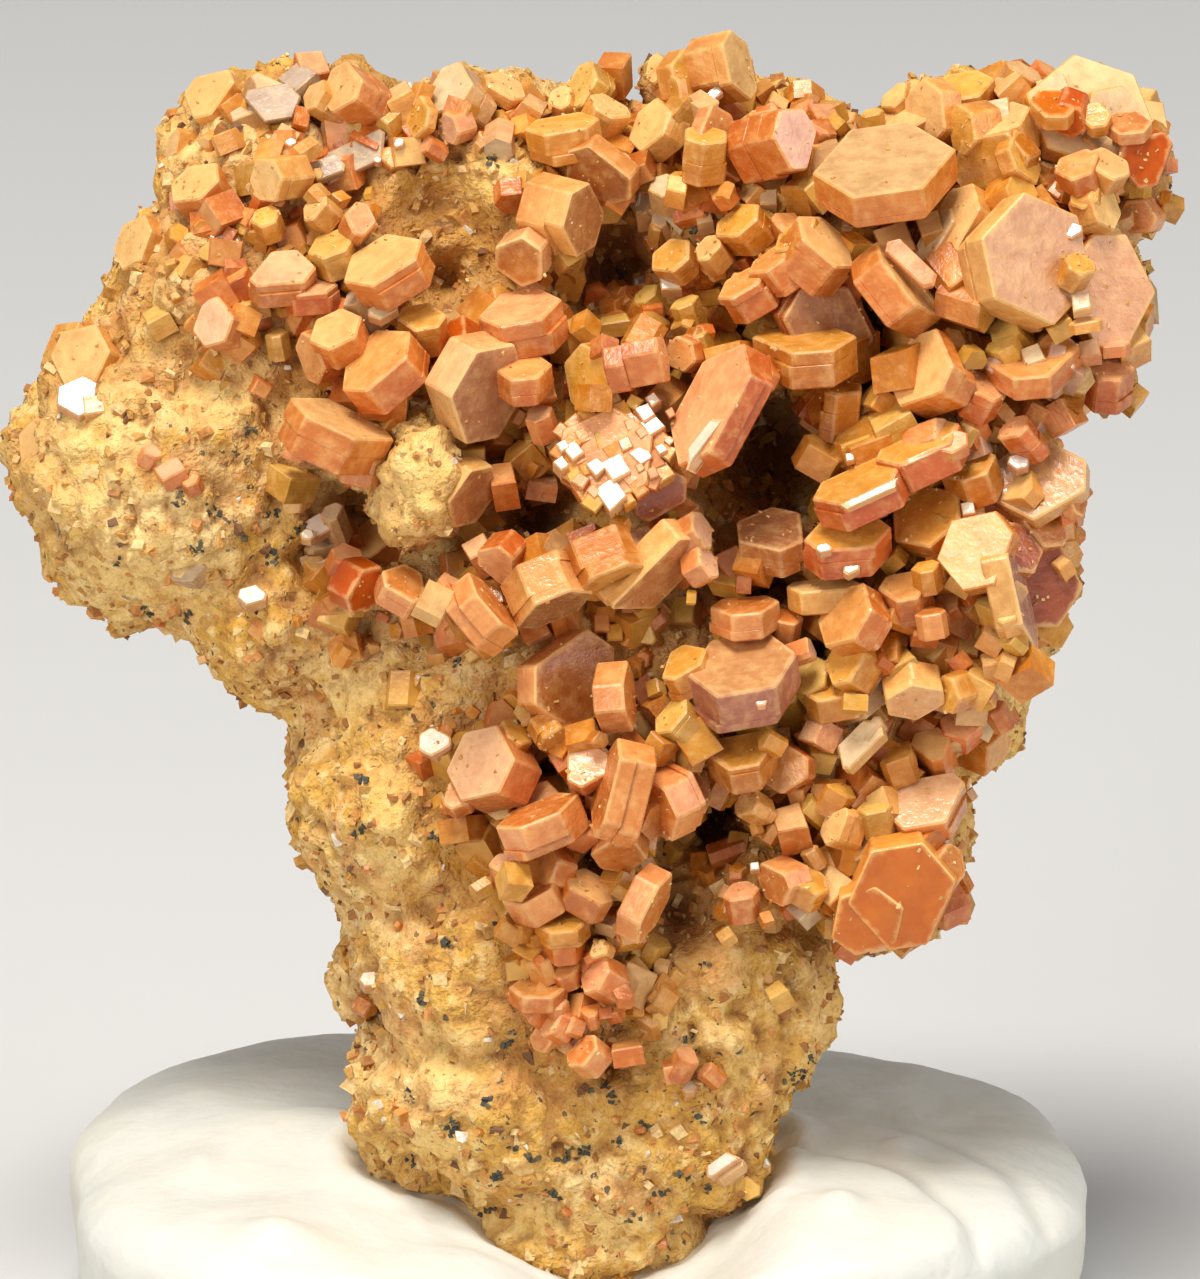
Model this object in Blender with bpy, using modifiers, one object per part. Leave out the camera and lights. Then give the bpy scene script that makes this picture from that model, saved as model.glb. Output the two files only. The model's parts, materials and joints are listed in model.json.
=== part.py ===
"""A vanadinite specimen: hexagonal crystals on an ochre matrix, stood in a lump of white mineral tack.

The specimen is laid out in millimetres on its own display face, which leans back a little from upright:
u runs across the face, v runs up it and d stands out of it. FACE carries that face into the part's own
frame, which is in metres, with +Z up and the origin under the middle of the tack.
"""

import math
from collections import namedtuple

import bmesh
import bpy
from mathutils import Matrix, Vector, noise

MM = 0.001

# The display face and how it stands in the tack.
LEAN_BACK = math.radians(16.0)
FACE_ORIGIN = Vector((0.6, -5.7, 3.6))

# Clearance between pieces that touch in the real specimen, and the smallest edge that is kept.
GAP = 0.3
SMALLEST_EDGE = 0.003

# The mineral tack: a kneaded dome with a flat underside, pressed down in front of the specimen.
TACK_HALF_SIZE = (16.25, 13.0)
TACK_WIDEST_AT = 4.2
TACK_RISE = 2.7
TACK_UNDERCUT = 7.5
TACK_SQUARENESS = 2.8
TACK_DENT = (0.1, -8.6, 5.6, 4.2, 3.4)
TACK_SEGMENTS = 28
TACK_RINGS = 16
TACK_FOLD = 0.35
FOOT_CLEARANCE = 0.42
FOOT_DETAIL = 0.16

# The matrix: the size of its grain, how many faces it keeps and how rough it is.
ROCK_VOXEL = 0.5
ROCK_FACES = 2400
ROCK_ROUGHNESS = ((3.1, 0.6), (1.3, 0.34))

# A crystal wider than this has its edges taken off.
CHAMFERED_ACROSS = 3.3
CHAMFER = 0.1

Lump = namedtuple("Lump", "u v d half_u half_v half_d")

# Rounded masses that grow together into the matrix: middle, then half sizes.
LUMPS = (
    Lump(-13.0, 25.4, -1.6, 6.0, 5.1, 5.9),
    Lump(-13.6, 23.0, -1.8, 4.1, 3.2, 4.6),
    Lump(-11.4, 30.4, -2.0, 4.4, 4.8, 6.2),
    Lump(-10.2, 34.7, -2.4, 4.0, 3.8, 5.4),
    Lump(-4.0, 33.3, -3.0, 6.2, 5.0, 7.0),
    Lump(4.4, 33.2, -3.2, 6.0, 4.5, 6.8),
    Lump(12.5, 31.4, -2.8, 4.7, 4.8, 7.2),
    Lump(12.6, 34.8, -2.8, 4.7, 3.2, 5.6),
    Lump(10.8, 23.6, -2.4, 4.1, 6.4, 6.8),
    Lump(10.9, 18.6, -1.2, 3.0, 3.3, 5.4),
    Lump(8.2, 14.8, -1.4, 3.6, 4.8, 6.0),
    Lump(-0.5, 26.4, -4.6, 9.5, 7.6, 8.2),
    Lump(-1.4, 18.4, -2.6, 8.8, 6.2, 7.2),
    Lump(-5.0, 15.4, -1.6, 5.2, 5.2, 6.0),
    Lump(-9.7, 20.6, -1.8, 3.2, 2.6, 5.2),
    Lump(-2.2, 9.6, -1.6, 6.35, 5.0, 6.0),
    Lump(3.2, 8.8, -1.6, 4.4, 5.2, 5.6),
    Lump(-3.1, 5.4, -1.5, 5.2, 3.6, 5.2),
    Lump(1.9, 3.4, -1.5, 4.6, 3.9, 4.8),
    Lump(-0.4, 0.8, -1.6, 3.9, 2.2, 3.8),
    Lump(-5.7, 24.9, 4.6, 1.35, 2.2, 2.1),
)

Break = namedtuple("Break", "point outward")

# Flat faces along which the rock was broken out of its vein: a point on each and the way that it looks.
BREAKS = (
    Break((0.0, 29.0, -6.6), (0.06, 0.22, -1.0)),
    Break((0.0, 14.0, -6.2), (-0.12, -0.08, -1.0)),
    Break((-12.5, 27.0, -5.0), (-0.35, 0.1, -1.0)),
    Break((13.0, 29.0, -6.2), (0.6, 0.05, -1.0)),
    Break((-4.0, 36.6, -4.6), (-0.2, 1.0, -0.75)),
    Break((9.0, 36.6, -5.0), (0.12, 1.0, -0.7)),
    Break((10.5, 16.0, -4.8), (0.8, -0.5, -1.0)),
    Break((-7.0, 10.0, -4.4), (-0.6, -0.25, -1.0)),
)

Pit = namedtuple("Pit", "u v half_u half_v depth")

# Hollows in the display face: middle, half sizes, depth.
PITS = (
    Pit(5.4, 26.0, 1.9, 2.6, 3.6),
    Pit(0.3, 32.0, 2.0, 1.9, 2.0),
    Pit(-2.0, 23.8, 1.4, 1.3, 2.2),
    Pit(8.6, 29.6, 1.2, 1.9, 1.8),
    Pit(-1.9, 15.8, 1.0, 0.7, 1.6),
    Pit(3.9, 14.6, 0.9, 1.4, 1.8),
    Pit(2.4, 11.4, 0.9, 1.3, 1.4),
)

Crystal = namedtuple("Crystal", "u v d across thick lean tilt spin stretch", defaults=(0.0, 1.0))

# Each crystal is a hexagonal plate. u, v, d is the middle of the flat face that looks out of the specimen,
# across is its width over two corners and thick its thickness. The face is tipped by tilt degrees away from
# the display face, towards lean: 0 is to the right, 90 up, 180 left and 270 down. spin turns the hexagon about
# its own middle, and stretch lengthens it along the line that it is tipped about. The crystals of one group
# have grown into each other, and each group is one piece.
CRYSTAL_GROUPS = {
    "crest_cluster": (
        Crystal(4.1, 38.1, 2.2, 2.2, 0.9, 10, 35),
        Crystal(2.95, 37.6, 2.2, 2.3, 0.6, 10, 52),
        Crystal(1.75, 38, 1.8, 1.4, 0.9, 160, 25),
        Crystal(1.6, 36.3, 3.2, 2.2, 0.8, 150, 35, 20),
        Crystal(0.3, 36.7, 2.9, 1.9, 0.8, 130, 30),
        Crystal(-0.6, 37.4, 2, 1.6, 0.7, 180, 40),
        Crystal(-1.1, 36.2, 3.6, 2.8, 1, 95, 68),
        Crystal(0.5, 34.8, 4, 1.9, 0.9, 60, 55),
        Crystal(-0.5, 33.1, 4.8, 2.6, 1.1, 340, 45),
    ),
    "crest_pair": (
        Crystal(3.1, 35.1, 5, 1.7, 1.2, 250, 35, 30),
        Crystal(4, 35.5, 4, 2.8, 0.6, 20, 58),
    ),
    "crest_slab": (
        Crystal(5.2, 34.9, 5.4, 2.7, 1.1, 239, 58),
    ),
    "large_upper_plate": (
        Crystal(8.4, 34.8, 6.2, 4.3, 1.2, 98, 55),
    ),
    "top_right_cluster": (
        Crystal(9.6, 36.6, 3.2, 2.3, 1, 120, 30),
        Crystal(10.2, 36.4, 4, 2.6, 0.7, 185, 55),
        Crystal(11.5, 37.5, 3, 2.3, 1, 100, 62),
        Crystal(12.4, 36.3, 4.4, 2.3, 1.4, 110, 48),
        Crystal(12.3, 34.8, 5.2, 3.2, 0.8, 210, 30),
        Crystal(15.3, 37.3, 3.2, 4.2, 0.9, 78, 66),
        Crystal(14.2, 36.2, 3.6, 1.9, 0.8, 270, 45),
        Crystal(17.05, 35.55, 2.4, 2.9, 1, 350, 35),
        Crystal(15.7, 35.1, 5, 1.7, 0.8, 60, 45),
        Crystal(15.8, 33.5, 5, 1.9, 0.9, 20, 40),
        Crystal(16.1, 30.6, 4.6, 2.7, 0.8, 0, 20, 30),
        Crystal(16.1, 32.3, 4.2, 1.9, 0.7, 20, 30),
        Crystal(10.8, 33, 4.8, 2.6, 0.6, 150, 60),
    ),
    "right_edge_cube": (
        Crystal(16.9, 33.3, 3.4, 1.4, 1.1, 200, 20),
    ),
    "large_facing_plate": (
        Crystal(13.7, 31.8, 7.2, 4.2, 1.6, 10, 30),
        Crystal(14.9, 31.7, 7.2, 1.3, 0.8, 60, 52),
    ),
    "stepped_plates": (
        Crystal(13.2, 29.2, 6, 3, 0.7, 110, 62),
        Crystal(7.9, 24.9, 7, 3.4, 1, 115, 64),
        Crystal(9.5, 26.3, 6.8, 3.2, 1.1, 118, 62),
        Crystal(10.1, 28.4, 6.8, 3, 1.2, 155, 52),
        Crystal(12.1, 27.9, 6.4, 1.8, 0.9, 60, 60),
    ),
    "right_edge_block": (
        Crystal(16, 28.5, 4.4, 1.8, 1.1, 85, 60),
    ),
    "leaning_plate": (
        Crystal(9.7, 31.6, 6.2, 3.1, 1, 38, 68),
    ),
    "upper_row_cluster": (
        Crystal(7.1, 32.5, 6.2, 2.8, 1.3, 50, 62),
        Crystal(4.3, 31.6, 5.6, 3.3, 1.1, 125, 78),
        Crystal(4.3, 33.1, 4.8, 1.9, 0.9, 130, 60),
        Crystal(3.3, 32.4, 4.4, 1.2, 0.7, 130, 60),
        Crystal(2.2, 32.1, 4, 1.7, 0.6, 130, 50),
    ),
    "upper_centre_cluster": (
        Crystal(7.2, 29.7, 4.8, 3.3, 0.7, 330, 25),
        Crystal(6.3, 29.4, 6.2, 3.2, 1.1, 92, 72),
        Crystal(3.3, 27.2, 7.4, 4.9, 1, 150, 56),
        Crystal(2.5, 28.9, 5.6, 1.4, 0.8, 190, 30),
        Crystal(0.4, 25.8, 6.8, 3.5, 1, 115, 22),
        Crystal(1.8, 24.5, 6.2, 2, 0.8, 300, 25),
    ),
    "hanging_block": (
        Crystal(7.5, 27.7, 5.4, 1.6, 1.4, 85, 72, 30),
    ),
    "right_bank_cube": (
        Crystal(12.9, 26.6, 6.2, 1.4, 1.2, 150, 40),
    ),
    "tan_side_plate": (
        Crystal(14.5, 25.3, 4.8, 2.8, 0.8, 160, 20),
    ),
    "orange_side_plate": (
        Crystal(13.5, 22.3, 3.8, 3.9, 0.8, 340, 40),
    ),
    "mauve_banded_plates": (
        Crystal(12, 21.6, 6.4, 4.4, 0.9, 200, 35),
        Crystal(11.5, 25.5, 5.8, 2, 1.1, 110, 55),
        Crystal(10.2, 23.7, 5.6, 2.8, 0.7, 130, 35),
    ),
    "middle_right_cluster": (
        Crystal(9.5, 21.7, 6.2, 2, 1.1, 100, 55),
        Crystal(7.6, 23.4, 6.2, 2.9, 1, 95, 60),
        Crystal(5.6, 22.8, 5.4, 2.8, 0.9, 265, 38, 30),
        Crystal(6.8, 21.7, 5.8, 2.6, 0.6, 95, 72),
        Crystal(7.7, 20.8, 6.6, 2.4, 1, 150, 50),
        Crystal(7.7, 19.5, 6.2, 1.8, 0.9, 150, 45),
        Crystal(7.3, 18.4, 5.6, 2, 0.8, 100, 40),
        Crystal(4.5, 21.1, 5.8, 2.4, 0.8, 95, 75),
        Crystal(5.8, 20.8, 5.4, 1.3, 0.8, 80, 55),
        Crystal(4.6, 19.2, 6.8, 3.6, 1.5, 100, 50),
        Crystal(2.5, 19.2, 6.2, 1.9, 1, 120, 35),
        Crystal(2.2, 17.6, 6.4, 1.8, 1, 140, 42),
    ),
    "right_side_pair": (
        Crystal(9.8, 18, 6.2, 2.2, 1, 280, 30, 30),
        Crystal(10.8, 18.1, 6, 1.5, 0.8, 200, 20),
    ),
    "upper_centre_pair": (
        Crystal(1.1, 28.7, 6.6, 2.2, 0.8, 100, 25),
        Crystal(-0.5, 28.1, 5.8, 2.2, 0.6, 190, 42),
    ),
    "left_centre_cluster": (
        Crystal(-3.2, 27.7, 6.2, 3.9, 1, 335, 35),
        Crystal(-2.6, 28.2, 6.9, 1.9, 0.6, 100, 45),
        Crystal(-2.5, 30, 5.4, 2, 1.1, 160, 30),
        Crystal(-7.6, 33.2, 4.8, 1.3, 0.8, 20, 35),
        Crystal(-8.6, 32.4, 4.6, 1.7, 1, 110, 30),
        Crystal(-6.9, 31.9, 5.6, 3.1, 1, 125, 55),
        Crystal(-10.1, 31.6, 4.8, 2.4, 0.8, 95, 48),
        Crystal(-8.2, 29.8, 5.6, 2.2, 0.9, 110, 50),
        Crystal(-9.1, 28.7, 5, 1.9, 0.8, 200, 25),
        Crystal(-7.1, 28.9, 6.2, 3, 1.1, 135, 55),
        Crystal(-5.6, 30.1, 5.4, 1.8, 1.1, 100, 50),
        Crystal(-4.8, 29.2, 5.2, 2.4, 0.7, 150, 65),
    ),
    "upper_hexagon": (
        Crystal(-2.6, 31.75, 5.2, 2, 0.8, 235, 35),
    ),
    "hollow_edge_pair": (
        Crystal(-3.1, 24, 5.6, 2.8, 0.9, 320, 52),
        Crystal(-3.2, 22.3, 6, 1.7, 1, 230, 45),
    ),
    "long_pink_slab": (
        Crystal(-3.3, 21.1, 7.2, 2.6, 1.1, 42, 80, 0, 1.55),
    ),
    "centre_cluster": (
        Crystal(-0.5, 21, 7, 4.1, 1.4, 290, 70),
        Crystal(1.4, 23, 6.2, 1.4, 0.7, 60, 40),
        Crystal(3.2, 23.2, 6.6, 1.5, 0.7, 30, 40),
        Crystal(3.1, 22.3, 6.9, 1.4, 0.7, 30, 42),
        Crystal(1.9, 21.9, 6.6, 2.6, 0.9, 315, 50, 0, 1.6),
        Crystal(-0.7, 18.6, 5.4, 3.7, 1, 0, 36),
        Crystal(-2.6, 17.1, 5.2, 1.3, 0.8, 60, 45),
        Crystal(-1.4, 16.8, 5.6, 1.4, 0.8, 300, 40),
        Crystal(-3.7, 16.3, 5.6, 2.4, 1.5, 140, 36),
        Crystal(-4.5, 15.2, 5, 1.3, 0.6, 110, 40),
    ),
    "left_crest_cluster": (
        Crystal(-4.8, 37.4, 2.4, 1.9, 1.2, 140, 30),
        Crystal(-3, 37.5, 1.6, 1.6, 0.5, 60, 60),
        Crystal(-4.8, 36, 3.2, 1.5, 0.7, 200, 30),
    ),
    "crest_block": (
        Crystal(-7.6, 37.1, 2.8, 2, 1.4, 30, 35),
    ),
    "corner_block": (
        Crystal(-12.4, 37.4, 0.8, 1.8, 1.1, 150, 30, 15),
    ),
    "upper_left_pair": (
        Crystal(-10.5, 34.35, 4.2, 1.6, 1.3, 190, 25),
        Crystal(-10.5, 33.3, 4.2, 1.2, 0.8, 110, 45),
    ),
    "left_shoulder_crystal": (
        Crystal(-12.8, 34.4, 2.6, 2, 1.2, 130, 35),
    ),
    "upper_left_bead": (
        Crystal(-9, 33.6, 4.2, 1.1, 0.8, 140, 30),
    ),
    "left_face_crystal": (
        Crystal(-12.2, 29.9, 4.8, 1.9, 1, 160, 30),
    ),
    "barred_plate_cluster": (
        Crystal(-8, 27, 6.2, 3, 1.5, 65, 68),
        Crystal(-9.2, 26.4, 5.4, 1.5, 1, 200, 20, 30),
        Crystal(-7.5, 26, 5.4, 2.2, 0.9, 80, 70),
    ),
    "left_edge_sliver": (
        Crystal(-14.8, 32.65, 1.3, 2.1, 0.8, 160, 55),
    ),
    "left_edge_plate": (
        Crystal(-16.45, 28.85, 1.6, 2.7, 1.2, 155, 40),
    ),
    "left_edge_chip": (
        Crystal(-17.75, 25.95, 0.6, 2.2, 0.9, 185, 40),
    ),
    "lower_right_pair": (
        Crystal(4.3, 16.5, 6, 2.5, 0.9, 100, 55),
        Crystal(5.8, 15.95, 5.4, 1.9, 0.7, 180, 22),
    ),
    "upright_column": (
        Crystal(0.95, 18.2, 6.6, 2.8, 0.95, 5, 82),
    ),
    "white_crystal": (
        Crystal(-5.2, 16.8, 4.6, 1.2, 0.7, 150, 18),
    ),
    "lower_centre_cluster": (
        Crystal(-0.5, 16.1, 6.4, 1.8, 0.6, 130, 15),
        Crystal(0.1, 15.3, 7, 3.4, 1.2, 170, 80),
        Crystal(1.6, 14.6, 6.4, 2.8, 1.1, 205, 52),
        Crystal(3.1, 15.3, 5.4, 2.2, 0.8, 20, 50),
        Crystal(-1.85, 14.7, 6.3, 3.2, 1.1, 112, 78),
        Crystal(0.6, 13.2, 6, 2, 0.8, 260, 30),
    ),
    "lower_left_cluster": (
        Crystal(-2.9, 13.1, 5.2, 1.5, 0.8, 100, 40),
        Crystal(-1.8, 12.9, 5.4, 1.9, 0.7, 160, 60),
        Crystal(-2.2, 12.3, 5.4, 2, 0.9, 120, 62),
        Crystal(-0.3, 12.3, 5.6, 1.9, 0.8, 60, 55),
    ),
    "slab_by_hollow": (
        Crystal(1.7, 11.5, 6.6, 2.8, 0.8, 332, 80),
    ),
    "wedge_plate": (
        Crystal(-1.2, 11.25, 5.2, 1.9, 0.7, 95, 62),
    ),
    "stem_upper_crystal": (
        Crystal(-0.2, 9.6, 5, 1.9, 0.9, 150, 32),
    ),
    "stem_ledge_plate": (
        Crystal(-1.95, 9.15, 4.6, 2, 0.6, 90, 66),
    ),
    "stem_lower_crystal": (
        Crystal(-0.6, 7.3, 4.8, 1.9, 0.8, 140, 50),
    ),
    "left_recess_pair": (
        Crystal(-7.3, 21.5, 4.8, 2, 0.9, 330, 30),
        Crystal(-6.1, 21.8, 5, 1.8, 0.8, 100, 25),
    ),
    "stem_row_cluster": (
        Crystal(4.4, 12.1, 5, 1.4, 0.9, 100, 40),
        Crystal(5.4, 12.3, 5.2, 1.8, 0.9, 200, 30),
        Crystal(6.6, 12.5, 5.2, 1.7, 0.8, 60, 55),
    ),
    "orange_plate_cluster": (
        Crystal(7.3, 14.2, 5.2, 1.5, 0.9, 160, 35),
        Crystal(10.4, 14.4, 5.2, 2.9, 0.9, 100, 40),
        Crystal(9.05, 12.6, 5.6, 3.9, 1.2, 285, 16, 22),
        Crystal(8.3, 13.5, 6, 1.2, 0.7, 140, 30),
    ),
    "notch_crystal": (
        Crystal(4.6, 14.9, 5.2, 1.3, 0.8, 150, 30),
    ),
}

COLOURS = {
    "matrix": (0.60, 0.36, 0.11, 1.0),
    "tack": (0.80, 0.78, 0.72, 1.0),
    "crystal": (0.66, 0.29, 0.11, 1.0),
    "pale": (0.78, 0.56, 0.36, 1.0),
    "deep": (0.52, 0.16, 0.05, 1.0),
}
PALE_GROUPS = ("crest_slab", "corner_block", "left_edge_plate", "left_edge_chip", "left_edge_sliver")
DEEP_GROUPS = ("orange_side_plate", "upper_hexagon", "left_recess_pair", "hollow_edge_pair")


def face_matrix():
    """Carries a point of the display face, in millimetres, into the part's frame, in metres."""
    lean = Matrix((
        (1.0, 0.0, 0.0),
        (0.0, math.sin(LEAN_BACK), -math.cos(LEAN_BACK)),
        (0.0, math.cos(LEAN_BACK), math.sin(LEAN_BACK)),
    )).to_4x4()
    return Matrix.Scale(MM, 4) @ Matrix.Translation(FACE_ORIGIN) @ lean


FACE = face_matrix()


def clear_scene():
    for obj in list(bpy.data.objects):
        bpy.data.objects.remove(obj, do_unlink=True)


def collection(name):
    made = bpy.data.collections.new(name)
    bpy.context.scene.collection.children.link(made)
    return made


def material(name, colour, roughness):
    made = bpy.data.materials.new(name)
    made.use_nodes = True
    shader = made.node_tree.nodes["Principled BSDF"]
    shader.inputs["Base Color"].default_value = colour
    shader.inputs["Roughness"].default_value = roughness
    made.diffuse_color = colour
    return made


def object_from_bmesh(bm, name, home):
    mesh = bpy.data.meshes.new(name)
    bm.to_mesh(mesh)
    bm.free()
    obj = bpy.data.objects.new(name, mesh)
    home.objects.link(obj)
    return obj


def apply_modifiers(obj):
    """Replaces an object's mesh with the mesh that its modifiers make."""
    evaluated = obj.evaluated_get(bpy.context.evaluated_depsgraph_get())
    mesh = bpy.data.meshes.new_from_object(evaluated)
    obj.modifiers.clear()
    obj.data = mesh


def combine(obj, others, operation):
    """Unites an object with others, or cuts them out of it, and leaves the result on the object."""
    for other in others:
        boolean = obj.modifiers.new(other.name, "BOOLEAN")
        boolean.operation = operation
        boolean.solver = "EXACT"
        boolean.object = other
    apply_modifiers(obj)


def islands(bm):
    """Lists the separate shells of a mesh, each as a list of its vertices."""
    waiting = set(bm.verts)
    found = []
    while waiting:
        front = [waiting.pop()]
        shell = list(front)
        while front:
            for edge in front.pop().link_edges:
                for vert in edge.verts:
                    if vert in waiting:
                        waiting.remove(vert)
                        front.append(vert)
                        shell.append(vert)
        found.append(shell)
    return found


def keep_largest_body(obj):
    """Drops crumbs that a cut has left loose, and edges too short to matter."""
    bm = bmesh.new()
    bm.from_mesh(obj.data)
    bmesh.ops.remove_doubles(bm, verts=bm.verts, dist=SMALLEST_EDGE * MM)
    bmesh.ops.dissolve_degenerate(bm, dist=SMALLEST_EDGE * MM, edges=bm.edges)
    shells = sorted(islands(bm), key=len, reverse=True)
    for shell in shells[1:]:
        bmesh.ops.delete(bm, geom=shell, context="VERTS")
    bm.to_mesh(obj.data)
    bm.free()


def outward(crystal):
    """The direction that the crystal's flat face looks in."""
    lean, tilt = math.radians(crystal.lean), math.radians(crystal.tilt)
    return Vector((math.sin(tilt) * math.cos(lean), math.sin(tilt) * math.sin(lean), math.cos(tilt)))


def crystal_axes(crystal):
    """Carries a plate that is centred on the origin, with a corner on +Y, to its place on the face."""
    normal = outward(crystal)
    lean, spin = math.radians(crystal.lean), math.radians(crystal.spin)
    level = Vector((-math.sin(lean), math.cos(lean), 0.0))
    corner = math.cos(spin) * level + math.sin(spin) * normal.cross(level)
    turned = Matrix((corner.cross(normal), corner, normal)).transposed().to_4x4()
    middle = Vector((crystal.u, crystal.v, crystal.d)) - normal * crystal.thick / 2
    return Matrix.Translation(middle) @ turned @ Matrix.Diagonal((1.0, crystal.stretch, 1.0, 1.0))


def hexagonal_plate(crystal, grown=0.0):
    """A hexagonal prism in metres, with each of its faces moved out by grown millimetres."""
    bm = bmesh.new()
    radius = crystal.across / 2 + grown / math.cos(math.radians(30))
    bmesh.ops.create_cone(bm, cap_ends=True, segments=6, radius1=radius, radius2=radius,
                          depth=crystal.thick + 2 * grown)
    if grown == 0.0 and crystal.across >= CHAMFERED_ACROSS:
        bmesh.ops.bevel(bm, geom=bm.edges[:], offset=CHAMFER, segments=1, affect="EDGES")
    bm.transform(FACE @ crystal_axes(crystal))
    return bm


def grow_group(name, crystals, home):
    """One piece of crystals that have grown into each other."""
    plates = [object_from_bmesh(hexagonal_plate(crystal), name, home) for crystal in crystals]
    group = plates[0]
    if len(plates) > 1:
        combine(group, plates[1:], "UNION")
        for plate in plates[1:]:
            bpy.data.objects.remove(plate)
        keep_largest_body(group)
    group.name = name
    return group


def root_of(crystal):
    """The lump of matrix that a crystal stands on, reaching into its back from the depth of the rock."""
    tilt = math.radians(crystal.tilt)
    middle = Vector((crystal.u, crystal.v, crystal.d)) - outward(crystal) * crystal.thick / 2
    tip = middle.z - 0.25 * crystal.across * math.sin(tilt) + 0.2
    base = -2.0
    along = 0.4 * crystal.across
    beside = max(0.35 * crystal.thick + 0.4 * crystal.across * math.cos(tilt), 0.55)
    place = Matrix.Translation((middle.x, middle.y, (tip + base) / 2))
    turn = Matrix.Rotation(math.radians(crystal.lean), 4, "Z")
    return place @ turn @ Matrix.Diagonal((beside, along, (tip - base) / 2, 1.0))


def add_ball(bm, placed):
    bmesh.ops.create_icosphere(bm, subdivisions=3, radius=1.0, matrix=placed)


def weather(point, normal):
    """How far a point of the rock moves in or out, from the roughness of the rock."""
    moved = sum(height * noise.noise(point / size) for size, height in ROCK_ROUGHNESS)
    return point + normal * moved


def press_pits(point):
    """Pushes the front of the rock back where the display face has a hollow."""
    if point.z < 0.0:
        return point
    for pit in PITS:
        reach = ((point.x - pit.u) / pit.half_u) ** 2 + ((point.y - pit.v) / pit.half_v) ** 2
        point = point - Vector((0.0, 0.0, pit.depth * math.exp(-1.5 * reach)))
    return point


def remesh(obj, voxel):
    """Grows overlapping shells together into one skin."""
    skin = obj.modifiers.new("skin", "REMESH")
    skin.mode = "VOXEL"
    skin.voxel_size = voxel
    apply_modifiers(obj)


def break_back(rock):
    """Breaks the rock off flat behind its display face."""
    bm = bmesh.new()
    bm.from_mesh(rock.data)
    for crack in BREAKS:
        cut = bmesh.ops.bisect_plane(bm, geom=bm.verts[:] + bm.edges[:] + bm.faces[:],
                                     plane_co=crack.point, plane_no=crack.outward, clear_outer=True)
        rim = [item for item in cut["geom_cut"] if isinstance(item, bmesh.types.BMEdge)]
        bmesh.ops.triangle_fill(bm, use_beauty=True, edges=rim)
    bmesh.ops.recalc_face_normals(bm, faces=bm.faces)
    bm.to_mesh(rock.data)
    bm.free()


def build_matrix(groups, home, cutters):
    """The rock, with a seat for every crystal."""
    bm = bmesh.new()
    for lump in LUMPS:
        add_ball(bm, Matrix.Translation(lump[:3]) @ Matrix.Diagonal((*lump[3:], 1.0)))
    for crystals in groups.values():
        for crystal in crystals:
            add_ball(bm, root_of(crystal))
    rock = object_from_bmesh(bm, "matrix", home)
    remesh(rock, ROCK_VOXEL)
    break_back(rock)
    remesh(rock, ROCK_VOXEL)

    bm = bmesh.new()
    bm.from_mesh(rock.data)
    bm.normal_update()
    places = [press_pits(weather(vert.co, vert.normal)) for vert in bm.verts]
    for vert, place in zip(bm.verts, places):
        vert.co = place
    bm.transform(FACE)
    faces = len(bm.faces) * 2
    bm.to_mesh(rock.data)
    bm.free()
    decimate = rock.modifiers.new("facets", "DECIMATE")
    decimate.ratio = ROCK_FACES / faces
    apply_modifiers(rock)

    seats = []
    for name, crystals in groups.items():
        for crystal in crystals:
            seat = object_from_bmesh(hexagonal_plate(crystal, GAP), name + "_seat", cutters)
            seats.append(seat)
    cut = rock.modifiers.new("seats", "BOOLEAN")
    cut.operation = "DIFFERENCE"
    cut.solver = "EXACT"
    cut.operand_type = "COLLECTION"
    cut.collection = cutters
    apply_modifiers(rock)
    for seat in seats:
        bpy.data.objects.remove(seat)
    keep_largest_body(rock)
    return rock


def tack_surface(unit):
    """Carries a point of a unit ball to the surface of the kneaded tack, in millimetres."""
    squareness = TACK_SQUARENESS - 0.4 * unit.x
    reach = sum(abs(value) ** squareness for value in unit) ** (1.0 / squareness)
    x, y, z = unit / reach
    rise = TACK_RISE if z > 0 else TACK_UNDERCUT
    point = Vector((x * TACK_HALF_SIZE[0], y * TACK_HALF_SIZE[1], TACK_WIDEST_AT + z * rise))
    dent_x, dent_y, width, length, depth = TACK_DENT
    fall = math.exp(-((point.x - dent_x) / width) ** 2 / 2 - ((point.y - dent_y) / length) ** 2 / 2)
    point.z -= depth * fall * max(z, 0.0)
    fold = TACK_FOLD * noise.noise(Vector((point.x, point.y * 1.5, point.z)) / 6.0)
    return point + unit * fold


def foot_clearance(rock, home):
    """A copy of the rock grown all over by the clearance, to press into the tack."""
    foot = object_from_bmesh(bmesh.new(), "foot_clearance", home)
    foot.data = rock.data.copy()
    grow = foot.modifiers.new("grow", "DISPLACE")
    grow.strength = FOOT_CLEARANCE * MM
    grow.mid_level = 0.0
    heal = foot.modifiers.new("heal", "REMESH")
    heal.mode = "VOXEL"
    heal.voxel_size = ROCK_VOXEL * MM
    decimate = foot.modifiers.new("facets", "DECIMATE")
    decimate.ratio = FOOT_DETAIL
    apply_modifiers(foot)
    return foot


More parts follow.
